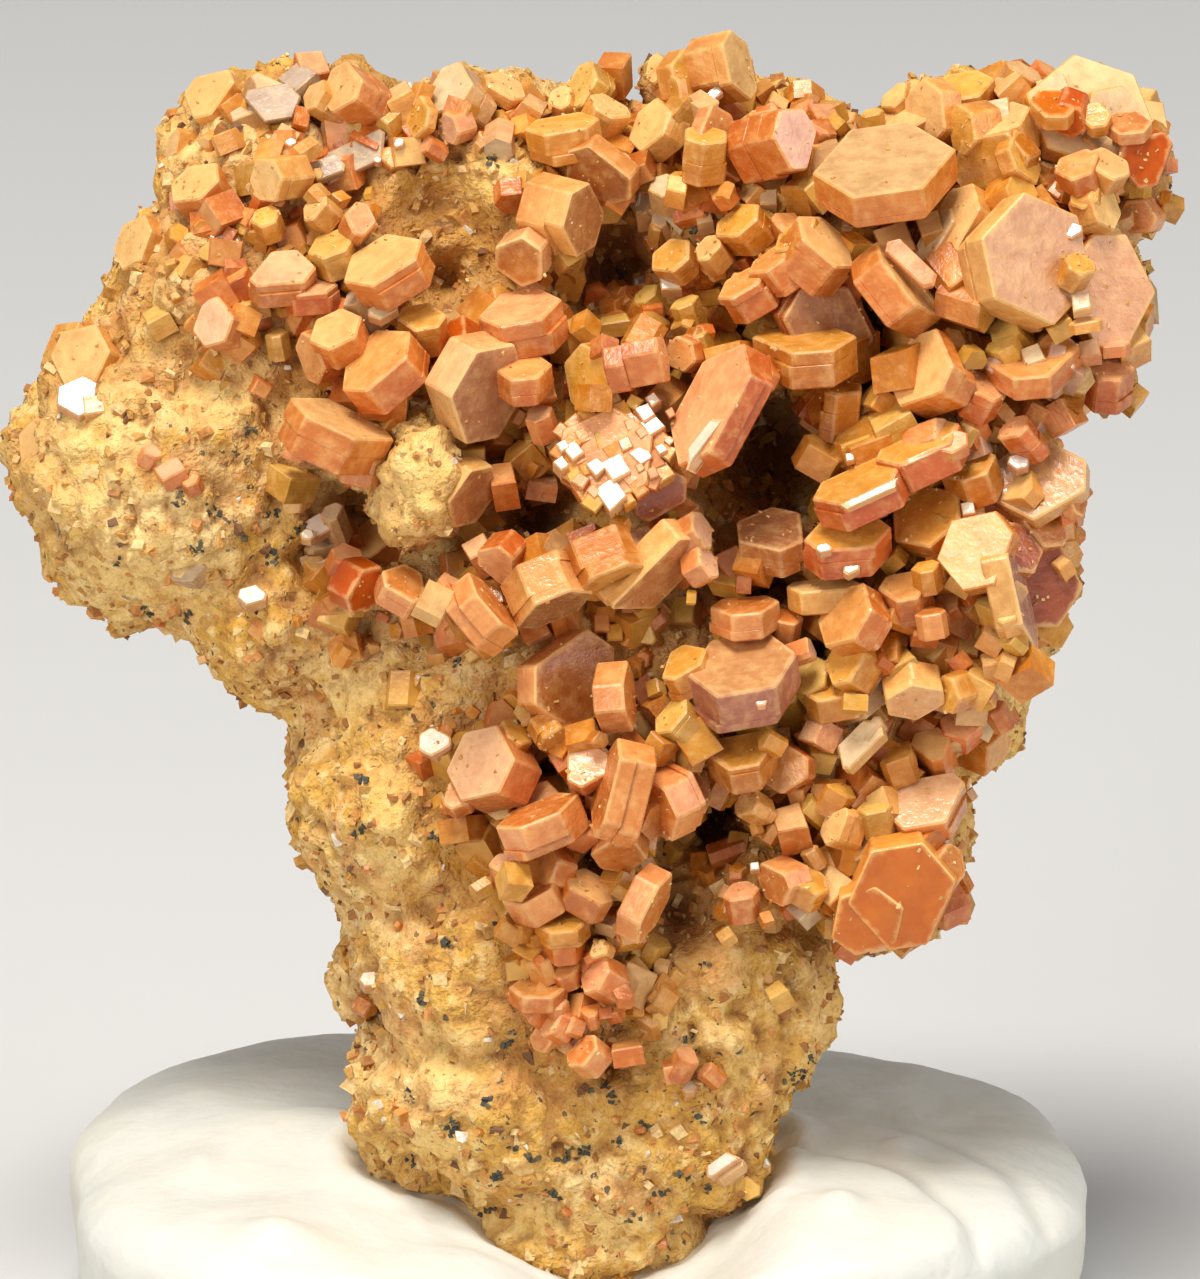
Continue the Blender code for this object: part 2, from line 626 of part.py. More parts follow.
def build_tack(rock, home, cutters):
    """The lump of tack, with a socket for the foot of the rock."""
    bm = bmesh.new()
    bmesh.ops.create_uvsphere(bm, u_segments=TACK_SEGMENTS, v_segments=TACK_RINGS, radius=1.0)
    for vert in bm.verts:
        vert.co = tack_surface(vert.co.copy())
    cut = bmesh.ops.bisect_plane(bm, geom=bm.verts[:] + bm.edges[:] + bm.faces[:], plane_co=(0, 0, 0),
                                 plane_no=(0, 0, -1), clear_outer=True)
    rim = [item for item in cut["geom_cut"] if isinstance(item, bmesh.types.BMEdge)]
    bmesh.ops.contextual_create(bm, geom=rim)
    bmesh.ops.recalc_face_normals(bm, faces=bm.faces)
    bm.transform(Matrix.Scale(MM, 4))
    tack = object_from_bmesh(bm, "mineral_tack_base", home)

    foot = foot_clearance(rock, cutters)
    combine(tack, [foot], "DIFFERENCE")
    bpy.data.objects.remove(foot)
    keep_largest_body(tack)
    tack.data.shade_smooth()
    return tack


def main():
    clear_scene()
    specimen = collection("vanadinite_specimen")
    cutters = collection("cutters")
    finishes = {
        "matrix": material("ochre_matrix", COLOURS["matrix"], 0.85),
        "tack": material("white_mineral_tack", COLOURS["tack"], 0.55),
        "crystal": material("vanadinite", COLOURS["crystal"], 0.3),
        "pale": material("pale_vanadinite", COLOURS["pale"], 0.4),
        "deep": material("deep_orange_vanadinite", COLOURS["deep"], 0.25),
    }
    for name, crystals in CRYSTAL_GROUPS.items():
        tone = "pale" if name in PALE_GROUPS else "deep" if name in DEEP_GROUPS else "crystal"
        grow_group(name, crystals, specimen).data.materials.append(finishes[tone])
    rock = build_matrix(CRYSTAL_GROUPS, specimen, cutters)
    rock.data.materials.append(finishes["matrix"])
    tack = build_tack(rock, specimen, cutters)
    tack.data.materials.append(finishes["tack"])
    for obj in specimen.objects:
        for face in obj.data.polygons:
            face.material_index = 0


main()
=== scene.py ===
"""The looks of a vanadinite specimen: orange hexagonal tablets on a crumbly ochre rock, stood in white mineral tack.

The specimen is laid out in millimetres on its own display face, which leans back a little from upright: u runs
across the face, v runs up it and d stands out of it. FACE carries that face into the part's frame, in metres.
"""

import itertools
import json
import logging
import math
import random
from dataclasses import dataclass, field, replace
from enum import Enum
from typing import Iterable, NamedTuple, Optional, Sequence

import bmesh
import bpy
import numpy as np
from mathutils import Matrix, Vector, noise
from mathutils.bvhtree import BVHTree


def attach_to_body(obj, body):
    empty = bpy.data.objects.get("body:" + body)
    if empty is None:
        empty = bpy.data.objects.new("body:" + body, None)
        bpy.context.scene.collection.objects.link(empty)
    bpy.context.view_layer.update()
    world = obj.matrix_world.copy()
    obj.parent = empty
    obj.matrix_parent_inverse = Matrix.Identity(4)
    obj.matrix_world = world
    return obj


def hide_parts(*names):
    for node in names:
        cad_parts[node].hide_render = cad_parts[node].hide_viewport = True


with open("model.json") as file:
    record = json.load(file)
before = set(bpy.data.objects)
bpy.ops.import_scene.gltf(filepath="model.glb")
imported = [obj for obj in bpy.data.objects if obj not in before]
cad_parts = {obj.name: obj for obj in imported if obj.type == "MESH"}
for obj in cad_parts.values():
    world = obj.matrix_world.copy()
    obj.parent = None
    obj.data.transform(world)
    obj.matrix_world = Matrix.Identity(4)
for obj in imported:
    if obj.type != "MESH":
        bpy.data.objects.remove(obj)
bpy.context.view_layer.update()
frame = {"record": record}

LOG = logging.getLogger("vanadinite_specimen")
BODY = "root"
MM = 0.001

# The display face and how it stands.
LEAN_BACK = math.radians(16.0)
FACE_ORIGIN = Vector((0.6, -5.7, 3.6))

# The lump of rock under a crystal reaches ROOT_BASE behind the face, and ROOT_LEAST is its least half thickness.
ROOT_BASE = -2.0
ROOT_LEAST = 0.55

Colour = tuple[float, float, float]
Patch = tuple[float, float, float, float]


def face_matrix() -> Matrix:
    """Carries a point of the display face, in millimetres, into the part's frame, in metres.

    Returns:
        The matrix of the display face.
    """
    lean = Matrix((
        (1.0, 0.0, 0.0),
        (0.0, math.sin(LEAN_BACK), -math.cos(LEAN_BACK)),
        (0.0, math.cos(LEAN_BACK), math.sin(LEAN_BACK)),
    )).to_4x4()
    return Matrix.Scale(MM, 4) @ Matrix.Translation(FACE_ORIGIN) @ lean


FACE = face_matrix()


class Tone(Enum):
    """The colours of a crystal: its flat end faces, then its sides. Each crystal's pair is chosen partly as painted
    light and shade: faces that look towards the lights get the lighter colour, faces turned away the darker one.
    """

    TAN = ((0.76, 0.324, 0.082), (0.66, 0.18, 0.024))
    # Painted light: LIT gives a light end face to crystals whose face looks towards the lights.
    LIT = ((0.84, 0.46, 0.16), (0.68, 0.21, 0.03))
    PINK = ((0.82, 0.36, 0.15), (0.68, 0.198, 0.041))
    SHELL = ((0.84, 0.46, 0.24), (0.72, 0.257, 0.072))
    BLUSH = ((0.84, 0.396, 0.163), (0.64, 0.144, 0.02))
    FLUSHED = ((0.66, 0.198, 0.034), (0.78, 0.306, 0.088))
    ROSE = ((0.70, 0.34, 0.145), (0.80, 0.42, 0.12))
    AMBER = ((0.78, 0.378, 0.054), (0.68, 0.261, 0.024))
    HONEY = ((0.64, 0.27, 0.034), (0.6, 0.198, 0.017))
    OCHRE = ((0.78, 0.475, 0.104), (0.64, 0.332, 0.048))
    SUNSET = ((0.76, 0.342, 0.048), (0.66, 0.135, 0.024))
    EMBER = ((0.66, 0.216, 0.041), (0.78, 0.306, 0.095))
    DEEP = ((0.60, 0.10, 0.003), (0.60, 0.10, 0.005))
    FIRE = ((0.60, 0.14, 0.001), (0.84, 0.36, 0.06))
    DOME = ((0.84, 0.56, 0.28), (0.80, 0.36, 0.05))
    # Painted shade: TURNED, DUSKY and UNDERSIDE darken the end face of a crystal turned into shade, beside lighter lit
    # sides; MAUVE darkens a shaded crystal all over.
    TURNED = ((0.52, 0.198, 0.061), (0.84, 0.432, 0.122))
    DUSKY = ((0.42, 0.135, 0.027), (0.74, 0.288, 0.068))
    UNDERSIDE = ((0.36, 0.153, 0.054), (0.8, 0.396, 0.116))
    MAUVE = ((0.4, 0.162, 0.061), (0.5, 0.153, 0.034))
    LILAC = ((0.66, 0.42, 0.28), (0.60, 0.30, 0.15))
    PALE = ((0.84, 0.503, 0.176), (0.76, 0.351, 0.072))
    GREY = ((0.54, 0.42, 0.29), (0.50, 0.34, 0.19))
    CHALK = ((0.76, 0.568, 0.324), (0.7, 0.412, 0.171))
    # Painted highlight: WHITE is the near-white of the small glinting chips and strips, and of a few pale crystals.
    WHITE = ((0.9, 0.804, 0.648), (0.84, 0.49, 0.252))
    BANDED = ((0.50, 0.27, 0.20), (0.78, 0.42, 0.13))
    RIMMED = ((0.58, 0.20, 0.025), (0.84, 0.42, 0.17))
    BLOSSOM = ((0.86, 0.52, 0.38), (0.64, 0.17, 0.02))
    WINE = ((0.58, 0.28, 0.09), (0.48, 0.17, 0.09))
    GARNET = ((0.38, 0.10, 0.045), (0.60, 0.18, 0.03))
    BUFF = ((0.64, 0.37, 0.15), (0.70, 0.23, 0.03))
    CLAY = ((0.52, 0.22, 0.10), (0.84, 0.46, 0.19))

    @property
    def face(self) -> Colour:
        """The colour of the flat end faces."""
        return self.value[0]

    @property
    def side(self) -> Colour:
        """The colour of the sides."""
        return self.value[1]


CLEAR_TONES = (Tone.WHITE, Tone.FIRE, Tone.DEEP, Tone.GARNET)


class Lump(NamedTuple):
    """A rounded mass of the rock: its middle, then its half sizes."""

    u: float
    v: float
    d: float
    half_u: float
    half_v: float
    half_d: float


class Break(NamedTuple):
    """A flat face along which the rock was broken out of its vein: a point on it and the way that it looks."""

    point: tuple[float, float, float]
    outward: tuple[float, float, float]


class Pit(NamedTuple):
    """A hollow in the display face: middle, half sizes and depth."""

    u: float
    v: float
    half_u: float
    half_v: float
    depth: float


@dataclass(frozen=True)
class Crystal:
    """A hexagonal tablet in the colours of its tone.

    u, v, d is the middle of the flat face that looks out of the specimen, across is its width over two corners
    and thick its thickness. The face is tipped by tilt degrees away from the display face, towards lean: 0 is to
    the right, 90 up, 180 left and 270 down. spin turns the hexagon about its own middle, and stretch lengthens
    it along the line that it is tipped about.
    """

    tone: Tone
    u: float
    v: float
    d: float
    across: float
    thick: float
    lean: float
    tilt: float
    spin: float = 0.0
    stretch: float = 1.0

    def radius(self) -> float:
        """How far its sides lie from its middle."""
        return self.across / 2 * math.cos(math.radians(30.0))

    def outward(self) -> Vector:
        """The direction that the flat face looks in."""
        lean, tilt = math.radians(self.lean), math.radians(self.tilt)
        return Vector((math.sin(tilt) * math.cos(lean), math.sin(tilt) * math.sin(lean), math.cos(tilt)))

    def axes(self) -> Matrix:
        """Carries a tablet that is centred on the origin, with a corner on +Y, to its place on the face."""
        normal = self.outward()
        lean, spin = math.radians(self.lean), math.radians(self.spin)
        level = Vector((-math.sin(lean), math.cos(lean), 0.0))
        corner = math.cos(spin) * level + math.sin(spin) * normal.cross(level)
        turned = Matrix((corner.cross(normal), corner, normal)).transposed().to_4x4()
        middle = Vector((self.u, self.v, self.d)) - normal * self.thick / 2
        return Matrix.Translation(middle) @ turned

    def root(self) -> Matrix:
        """Places the unit ball that is the lump of rock the crystal stands on."""
        tilt = math.radians(self.tilt)
        middle = Vector((self.u, self.v, self.d)) - self.outward() * self.thick / 2
        tip = middle.z - 0.25 * self.across * math.sin(tilt) + 0.2
        beside = max(0.35 * self.thick + 0.4 * self.across * math.cos(tilt), ROOT_LEAST)
        place = Matrix.Translation((middle.x, middle.y, (tip + ROOT_BASE) / 2))
        turn = Matrix.Rotation(math.radians(self.lean), 4, "Z")
        return place @ turn @ Matrix.Diagonal((beside, 0.4 * self.across, (tip - ROOT_BASE) / 2, 1.0))


LUMPS: tuple[Lump, ...] = (
    Lump(-13.0, 25.4, -1.6, 6.0, 5.1, 5.9), Lump(-13.6, 23.0, -1.8, 4.1, 3.2, 4.6),
    Lump(-11.4, 30.4, -2.0, 4.4, 4.8, 6.2), Lump(-10.2, 34.7, -2.4, 4.0, 3.8, 5.4),
    Lump(-4.0, 33.3, -3.0, 6.2, 5.0, 7.0), Lump(4.4, 33.2, -3.2, 6.0, 4.5, 6.8), Lump(12.5, 31.4, -2.8, 4.7, 4.8, 7.2),
    Lump(12.6, 34.8, -2.8, 4.7, 3.2, 5.6), Lump(10.8, 23.6, -2.4, 4.1, 6.4, 6.8),
    Lump(10.9, 18.6, -1.2, 3.0, 3.3, 5.4), Lump(8.2, 14.8, -1.4, 3.6, 4.8, 6.0), Lump(-0.5, 26.4, -4.6, 9.5, 7.6, 8.2),
    Lump(-1.4, 18.4, -2.6, 8.8, 6.2, 7.2), Lump(-5.0, 15.4, -1.6, 5.2, 5.2, 6.0),
    Lump(-9.7, 20.6, -1.8, 3.2, 2.6, 5.2), Lump(-2.2, 9.6, -1.6, 6.35, 5.0, 6.0), Lump(3.2, 8.8, -1.6, 4.4, 5.2, 5.6),
    Lump(-3.1, 5.4, -1.5, 5.2, 3.6, 5.2), Lump(1.5, 3.6, -1.5, 4.3, 3.7, 4.8), Lump(-0.4, 0.8, -1.6, 3.9, 2.2, 3.8),
    Lump(4.9, 12.5, 1.6, 1.3, 1.2, 2.1), Lump(-5.7, 24.9, 4.6, 1.6, 2.45, 2.1),
)

BREAKS: tuple[Break, ...] = (
    Break((0.0, 29.0, -6.6), (0.06, 0.22, -1.0)), Break((0.0, 14.0, -6.2), (-0.12, -0.08, -1.0)),
    Break((-12.5, 27.0, -5.0), (-0.35, 0.1, -1.0)), Break((13.0, 29.0, -6.2), (0.6, 0.05, -1.0)),
    Break((-4.0, 36.6, -4.6), (-0.2, 1.0, -0.75)), Break((9.0, 36.6, -5.0), (0.12, 1.0, -0.7)),
    Break((10.5, 16.0, -4.8), (0.8, -0.5, -1.0)), Break((-7.0, 10.0, -4.4), (-0.6, -0.25, -1.0)),
)

PITS: tuple[Pit, ...] = (
    Pit(5.4, 26.0, 1.9, 2.6, 3.6), Pit(0.3, 32.0, 2.0, 1.9, 2.0), Pit(-2.0, 23.8, 1.4, 1.3, 2.2),
    Pit(8.6, 29.6, 1.2, 1.9, 1.8), Pit(-1.9, 15.8, 1.0, 0.7, 1.6), Pit(3.9, 14.6, 0.9, 1.4, 1.8),
    Pit(2.4, 11.4, 0.9, 1.3, 1.4),
)

# Smooth shallow dips in the face; patches of the rock painted darker brown, partly as painted shade beside the
# crystals and by a hollow; and patches bleached nearly white.
DIPS: tuple[Pit, ...] = (
    Pit(-4.9, 32.9, 1.7, 2.4, 1.7), Pit(-5.0, 31.2, 0.6, 0.9, 1.0), Pit(-4.6, 11.6, 1.0, 0.9, 0.4),
    Pit(-7.2, 8.4, 0.6, 1.2, 0.7), Pit(6.9, 10.7, 0.4, 0.4, 0.6), Pit(6.3, 14.2, 0.4, 0.4, 0.7),
    Pit(0.2, 6.4, 0.35, 0.5, 0.6), Pit(3.3, 6.1, 0.3, 0.3, 0.4), Pit(6.0, 9.2, 0.3, 0.5, 0.5),
    Pit(-9.6, 19.7, 0.35, 0.8, 0.6),
)
DARKENED_PATCHES: tuple[Patch, ...] = (
    (-5.2, 32.4, 1.9, 2.4), (-4.4, 11.8, 1.3, 1.2), (2.4, 11.5, 1.2, 1.6), (-7.3, 8.6, 0.7, 1.4),
)
BLEACHED: tuple[Patch, ...] = (
    (13.3, 18.2, 0.9, 2.2), (12.4, 16.5, 1.3, 0.7), (11.3, 14.8, 0.5, 1.4), (8.1, 16.7, 0.9, 0.6),
    (-5.2, 6.4, 1.5, 1.1), (-5.7, 25.2, 1.5, 2.2), (-16.2, 25.6, 1.6, 2.4), (-14.2, 22.2, 2.2, 1.2),
    (-12.6, 36.0, 1.6, 1.0), (-12.0, 27.6, 2.0, 0.9), (-6.6, 13.6, 0.8, 2.4), (-5.6, 4.0, 1.3, 0.9),
    (-3.2, 34.6, 1.2, 0.7), (7.2, 8.0, 0.6, 1.2), (-7.9, 18.4, 1.2, 1.0), (-1.0, 1.4, 3.0, 0.5),
)


def crystals(*rows: tuple) -> tuple[Crystal, ...]:
    """Reads rows of a tone and then the numbers of a crystal, in the order of its fields."""
    return tuple(Crystal(*row) for row in rows)


# The crystals of one group have grown into each other, and each group is one piece.
CRYSTAL_GROUPS: dict[str, tuple[Crystal, ...]] = {
    "crest_cluster": crystals(
        (Tone.PALE, 4.45, 38.1, 2.3, 2.4, 1.5, 12, 60), (Tone.AMBER, 2.95, 37.7, 2.2, 2.3, 0.7, 10, 52),
        (Tone.PALE, 3.3, 38.3, 2.3, 1.5, 0.9, 150, 60), (Tone.PALE, 1.75, 38, 1.8, 1.4, 1.1, 160, 50, 15),
        (Tone.PALE, 1.6, 36.3, 3.2, 2.2, 0.9, 150, 60, 20), (Tone.AMBER, 2.3, 36.9, 2.9, 1.9, 0.35, 190, 62),
        (Tone.PALE, 0.3, 36.8, 2.9, 1.7, 0.9, 60, 62), (Tone.OCHRE, -0.6, 37.5, 2.2, 1.8, 0.9, 150, 55),
        (Tone.PALE, -1.3, 37.1, 2.4, 1.2, 0.7, 120, 45), (Tone.AMBER, -1.1, 36.2, 3.7, 2.8, 1.1, 100, 70),
        (Tone.DUSKY, -0.1, 34.5, 4.2, 2.5, 0.8, 232, 42), (Tone.SHELL, 0.6, 35, 3.9, 1.5, 0.8, 60, 50, 20),
        (Tone.TURNED, -0.5, 33.1, 4.9, 2.6, 1.8, 345, 58),
    ),
    "crest_pair": crystals(
        (Tone.AMBER, 3.3, 35.8, 5, 1.8, 1.5, 85, 66, 30), (Tone.EMBER, 4, 35.5, 4, 2.8, 0.6, 20, 58),
    ),
    "crest_slab": crystals((Tone.BLOSSOM, 6.1, 35.65, 5.8, 2.4, 2.2, 12, 46, 25)),
    "large_upper_plate": crystals((Tone.BUFF, 8.65, 34.95, 6.2, 4.9, 1.15, 98, 59)),
    "top_right_cluster": crystals(
        (Tone.PALE, 9.6, 36.6, 3.2, 2.3, 1, 120, 58), (Tone.PALE, 10.2, 36.4, 4, 2.6, 0.8, 185, 55),
        (Tone.AMBER, 11.5, 37.5, 3, 2.3, 1, 100, 62), (Tone.PALE, 12.4, 36.3, 4.6, 2.3, 1.4, 110, 60),
        (Tone.HONEY, 12.3, 34.8, 5.2, 3.2, 1, 210, 32, 10), (Tone.AMBER, 11.3, 35.9, 4.9, 1.8, 1.2, 190, 55),
        (Tone.AMBER, 13.3, 35.2, 5.4, 2.2, 0.6, 20, 62), (Tone.DOME, 15.6, 36.45, 3.2, 4.8, 0.7, 62, 36, 12),
        (Tone.DOME, 16.5, 36, 3.1, 3.4, 0.8, 25, 36, 20), (Tone.DEEP, 14.65, 36.2, 4.9, 1.6, 1, 250, 40),
        (Tone.FIRE, 14.2, 36.85, 5, 1.7, 0.6, 90, 50), (Tone.AMBER, 15.5, 36.4, 4.9, 1.3, 0.6, 100, 35),
        (Tone.EMBER, 16.5, 36.2, 4.6, 1.6, 0.5, 95, 55), (Tone.DEEP, 17.1, 35.1, 4.5, 2.2, 0.9, 330, 12, 10),
        (Tone.PALE, 16, 34.9, 5.1, 1.5, 0.8, 60, 45), (Tone.TAN, 14.9, 34.9, 5.3, 1.7, 0.8, 110, 50),
        (Tone.PALE, 15.9, 33.6, 5, 1.9, 0.9, 20, 55), (Tone.AMBER, 15.1, 33.9, 5.3, 1.3, 0.8, 120, 40),
        (Tone.ROSE, 16, 30.9, 4.8, 4, 0.8, 0, 25, 30), (Tone.PALE, 16.1, 32.3, 4.2, 1.9, 0.7, 20, 50),
        (Tone.PALE, 10.9, 33, 5.6, 2.6, 0.6, 150, 56, 0, 1.2),
        (Tone.CHALK, 10.4, 32.6, 5.5, 1.5, 0.4, 150, 60, 0, 1.7),
    ),
    "right_edge_cube": crystals((Tone.EMBER, 16.9, 33.3, 3.4, 1.5, 1.2, 200, 20, 15)),
    "large_facing_plate": crystals(
        (Tone.ROSE, 13.55, 31.9, 7.2, 4.7, 1.5, 12, 34), (Tone.AMBER, 14.95, 31.75, 7.1, 1.3, 0.9, 60, 50),
    ),
    "stepped_plates": crystals(
        (Tone.TAN, 13.6, 28.95, 6, 3.7, 0.8, 95, 62), (Tone.LILAC, 14, 28.6, 5.6, 2.4, 0.7, 80, 48),
        (Tone.SUNSET, 8, 24.95, 7, 2.8, 1.05, 115, 64, 0, 1.25),
        (Tone.SUNSET, 9.9, 26.1, 6.9, 2.5, 1.1, 115, 62, 0, 1.2), (Tone.SHELL, 10.8, 26.3, 6.7, 1.6, 1.3, 20, 60, 20),
        (Tone.LIT, 10.1, 28.4, 6.8, 3, 1.25, 155, 52), (Tone.BLUSH, 12.1, 27.9, 6.4, 1.8, 1.1, 60, 56, 10),
    ),
    "right_edge_block": crystals((Tone.BLUSH, 16, 28.5, 4.4, 1.8, 1.3, 85, 58)),
    "leaning_plate": crystals((Tone.LIT, 9.75, 31.2, 6.4, 3.6, 1.2, 38, 71)),
    "upper_row_cluster": crystals(
        (Tone.LIT, 7.15, 32.5, 6.2, 2.8, 1.4, 50, 60), (Tone.TAN, 4.4, 31.2, 5.7, 2, 1.1, 120, 66),
        (Tone.TAN, 5.3, 31.9, 5.9, 1.9, 1.1, 125, 70), (Tone.AMBER, 6.1, 32.7, 5.9, 1.7, 1, 130, 66),
        (Tone.AMBER, 4.3, 33.1, 4.8, 1.9, 1.1, 130, 56), (Tone.OCHRE, 5.1, 33.2, 4.6, 1.4, 0.9, 60, 50),
        (Tone.PALE, 3.35, 32.3, 4.6, 1.3, 0.9, 130, 52, 12), (Tone.AMBER, 2.2, 32.1, 4, 1.9, 0.8, 130, 50),
    ),
    "upper_centre_cluster": crystals(
        (Tone.MAUVE, 7.2, 29.8, 5.5, 3.8, 0.8, 330, 25), (Tone.HONEY, 6.3, 29.4, 6.2, 3.6, 1.2, 94, 72),
        (Tone.BLUSH, 3.3, 27.3, 7.4, 4.7, 1, 152, 62), (Tone.TAN, 4.5, 28.5, 7, 1.6, 1, 152, 62),
        (Tone.TAN, 2.5, 28.9, 5.6, 1.5, 0.9, 190, 32), (Tone.PINK, 0.3, 25.9, 6.7, 3.6, 1, 115, 16),
        (Tone.GARNET, 1.8, 24.5, 6.2, 2.2, 0.8, 300, 25),
    ),
    "hanging_block": crystals((Tone.HONEY, 7.6, 27.9, 5.4, 1.7, 1.7, 85, 70, 30)),
    "right_bank_cube": crystals((Tone.BLUSH, 12.9, 26.6, 6.2, 1.5, 1.3, 130, 60, 10)),
    "tan_side_plate": crystals(
        (Tone.ROSE, 13.7, 25.05, 5.5, 3.4, 0.8, 120, 24), (Tone.EMBER, 14.9, 24.7, 5.2, 1.4, 0.5, 20, 60, 0, 1.6),
    ),
    "orange_side_plate": crystals(
        (Tone.GARNET, 13.65, 21.95, 4.8, 3.5, 1, 320, 14, 8), (Tone.GARNET, 13.2, 22.8, 5.7, 2.2, 0.8, 30, 40),
        (Tone.EMBER, 14, 23.6, 5, 1.9, 0.9, 40, 35),
    ),
    "mauve_banded_plates": crystals(
        (Tone.BANDED, 13.25, 21.6, 5.7, 4.7, 0.9, 12, 80, 5), (Tone.HONEY, 11.5, 25.5, 5.8, 2.1, 1.2, 110, 58),
        (Tone.HONEY, 10.2, 23.9, 5.6, 2.8, 0.9, 130, 42),
    ),
    "middle_right_cluster": crystals(
        (Tone.TAN, 9.5, 21.7, 6.2, 2, 1.1, 100, 55), (Tone.SUNSET, 7.7, 23.4, 6.2, 2.9, 1.1, 95, 58),
        (Tone.MAUVE, 5.4, 23.5, 5.6, 2.7, 1.1, 95, 56, 30), (Tone.PALE, 7, 21.7, 5.7, 1.7, 0.8, 94, 72, 0, 1.7),
        (Tone.TAN, 7.7, 20.9, 6.6, 2.6, 1.1, 150, 54), (Tone.AMBER, 7.6, 19.4, 6.2, 2, 1, 150, 50),
        (Tone.AMBER, 7.3, 18.5, 5.6, 2, 0.9, 100, 60), (Tone.FLUSHED, 4.5, 21.1, 5.8, 2.4, 0.9, 95, 72),
        (Tone.FLUSHED, 5.8, 20.8, 5.4, 1.3, 0.9, 80, 55), (Tone.WINE, 4.5, 19.2, 6.8, 4, 1.5, 100, 52),
        (Tone.AMBER, 2.5, 19.3, 6.2, 1.9, 1, 120, 60), (Tone.OCHRE, 2.2, 17.6, 6.4, 1.8, 1, 140, 60),
    ),
    "right_side_pair": crystals(
        (Tone.ROSE, 9.8, 18, 6.2, 2.2, 1.1, 280, 50, 30), (Tone.AMBER, 10.8, 18.2, 6, 1.5, 0.9, 200, 50),
    ),
    "upper_centre_pair": crystals(
        (Tone.PINK, 2, 28.75, 6.6, 2.1, 1.8, 10, 80, 30), (Tone.AMBER, -0.5, 28.2, 5.8, 2.3, 0.7, 190, 45),
    ),
    "left_centre_cluster": crystals(
        (Tone.CLAY, -3.4, 27.8, 6.2, 3.9, 1.3, 330, 50), (Tone.TAN, -2.35, 28.5, 6.3, 1.9, 1, 95, 60),
        (Tone.PINK, -2.5, 30.4, 5.4, 2.9, 1.3, 100, 64), (Tone.PINK, -7.5, 33.2, 4.8, 1.4, 0.9, 60, 35, 20),
        (Tone.OCHRE, -8.5, 32.4, 4.6, 1.8, 1, 110, 58), (Tone.LIT, -6.9, 31.9, 5.6, 3.1, 1.1, 122, 57),
        (Tone.SHELL, -10, 31.6, 4.8, 2.5, 0.9, 95, 50), (Tone.BLUSH, -9, 31.1, 4.6, 2, 0.8, 95, 66),
        (Tone.LIT, -8.2, 29.8, 5.6, 2.3, 1, 115, 48), (Tone.TAN, -9.1, 28.7, 5, 1.9, 0.9, 200, 55),
        (Tone.TAN, -7, 28.8, 6.2, 3, 1.2, 130, 56), (Tone.AMBER, -5.6, 30.1, 5.4, 1.8, 1.2, 100, 52),
        (Tone.DEEP, -4.8, 29.2, 5.2, 2.4, 0.8, 150, 65),
    ),
    "upper_hexagon": crystals((Tone.RIMMED, -2.5, 31.75, 5.2, 2.25, 1, 235, 35)),
    "hollow_edge_pair": crystals(
        (Tone.TURNED, -3.9, 24.5, 5.4, 2.5, 0.9, 325, 58), (Tone.BLUSH, -3.2, 22.3, 6, 1.7, 1.1, 230, 45),
    ),
    "long_pink_slab": crystals((Tone.FLUSHED, -3.3, 21.1, 7.2, 2.3, 1.15, 40, 78, 0, 1.5)),
    "centre_cluster": crystals(
        (Tone.UNDERSIDE, -1.5, 20.9, 7, 2.7, 1.5, 292, 72), (Tone.HONEY, 0.3, 21.7, 6.9, 2.7, 1.5, 292, 72),
        (Tone.SHELL, 1.4, 23, 6.2, 1.5, 0.9, 60, 55, 15), (Tone.SHELL, 3.2, 23.4, 6.6, 1.5, 0.8, 30, 60, 10),
        (Tone.SHELL, 3.4, 22.4, 6.8, 1.4, 0.8, 30, 60, 20), (Tone.TURNED, 1.9, 21.9, 6.6, 2.5, 1.1, 315, 56, 0, 1.6),
        (Tone.DUSKY, -0.7, 18.6, 5.4, 3.7, 1, 0, 36), (Tone.AMBER, -2.6, 17.1, 5.2, 1.4, 0.9, 60, 60),
        (Tone.AMBER, -1.4, 16.8, 5.6, 1.4, 0.9, 300, 60), (Tone.SHELL, -3.7, 16.1, 5.6, 2.8, 1.5, 155, 42, 0, 1.12),
        (Tone.PINK, -4.5, 15.2, 5, 1.3, 0.6, 110, 40),
    ),
    "left_crest_cluster": crystals(
        (Tone.CHALK, -4.8, 37.4, 2.4, 2.1, 1.4, 140, 50, 15), (Tone.PALE, -3, 37.5, 1.6, 1.7, 0.5, 60, 60),
        (Tone.SHELL, -4.8, 36, 3.2, 1.3, 0.8, 200, 55), (Tone.AMBER, -5.8, 36.5, 2.9, 1.7, 0.4, 170, 60),
    ),
    "crest_block": crystals((Tone.LIT, -8.2, 37.4, 2.9, 2.2, 1.7, 150, 50, 15)),
    "corner_block": crystals((Tone.PALE, -12.35, 37.35, 1, 2.2, 1.2, 135, 48, 15)),
    "upper_left_pair": crystals(
        (Tone.PALE, -10.5, 34.35, 4.2, 1.7, 1.4, 190, 50, 20), (Tone.AMBER, -10.5, 33.3, 4.2, 1.2, 0.9, 110, 45),
    ),
    "left_shoulder_crystal": crystals((Tone.LIT, -12.8, 34.4, 2.6, 2.1, 1.4, 130, 55, 10)),
    "upper_left_bead": crystals((Tone.PALE, -9, 33.6, 4.2, 1.2, 0.9, 140, 55)),
    "left_face_crystal": crystals((Tone.SHELL, -12.2, 29.9, 4.8, 1.9, 1.1, 160, 30)),
    "barred_plate_cluster": crystals(
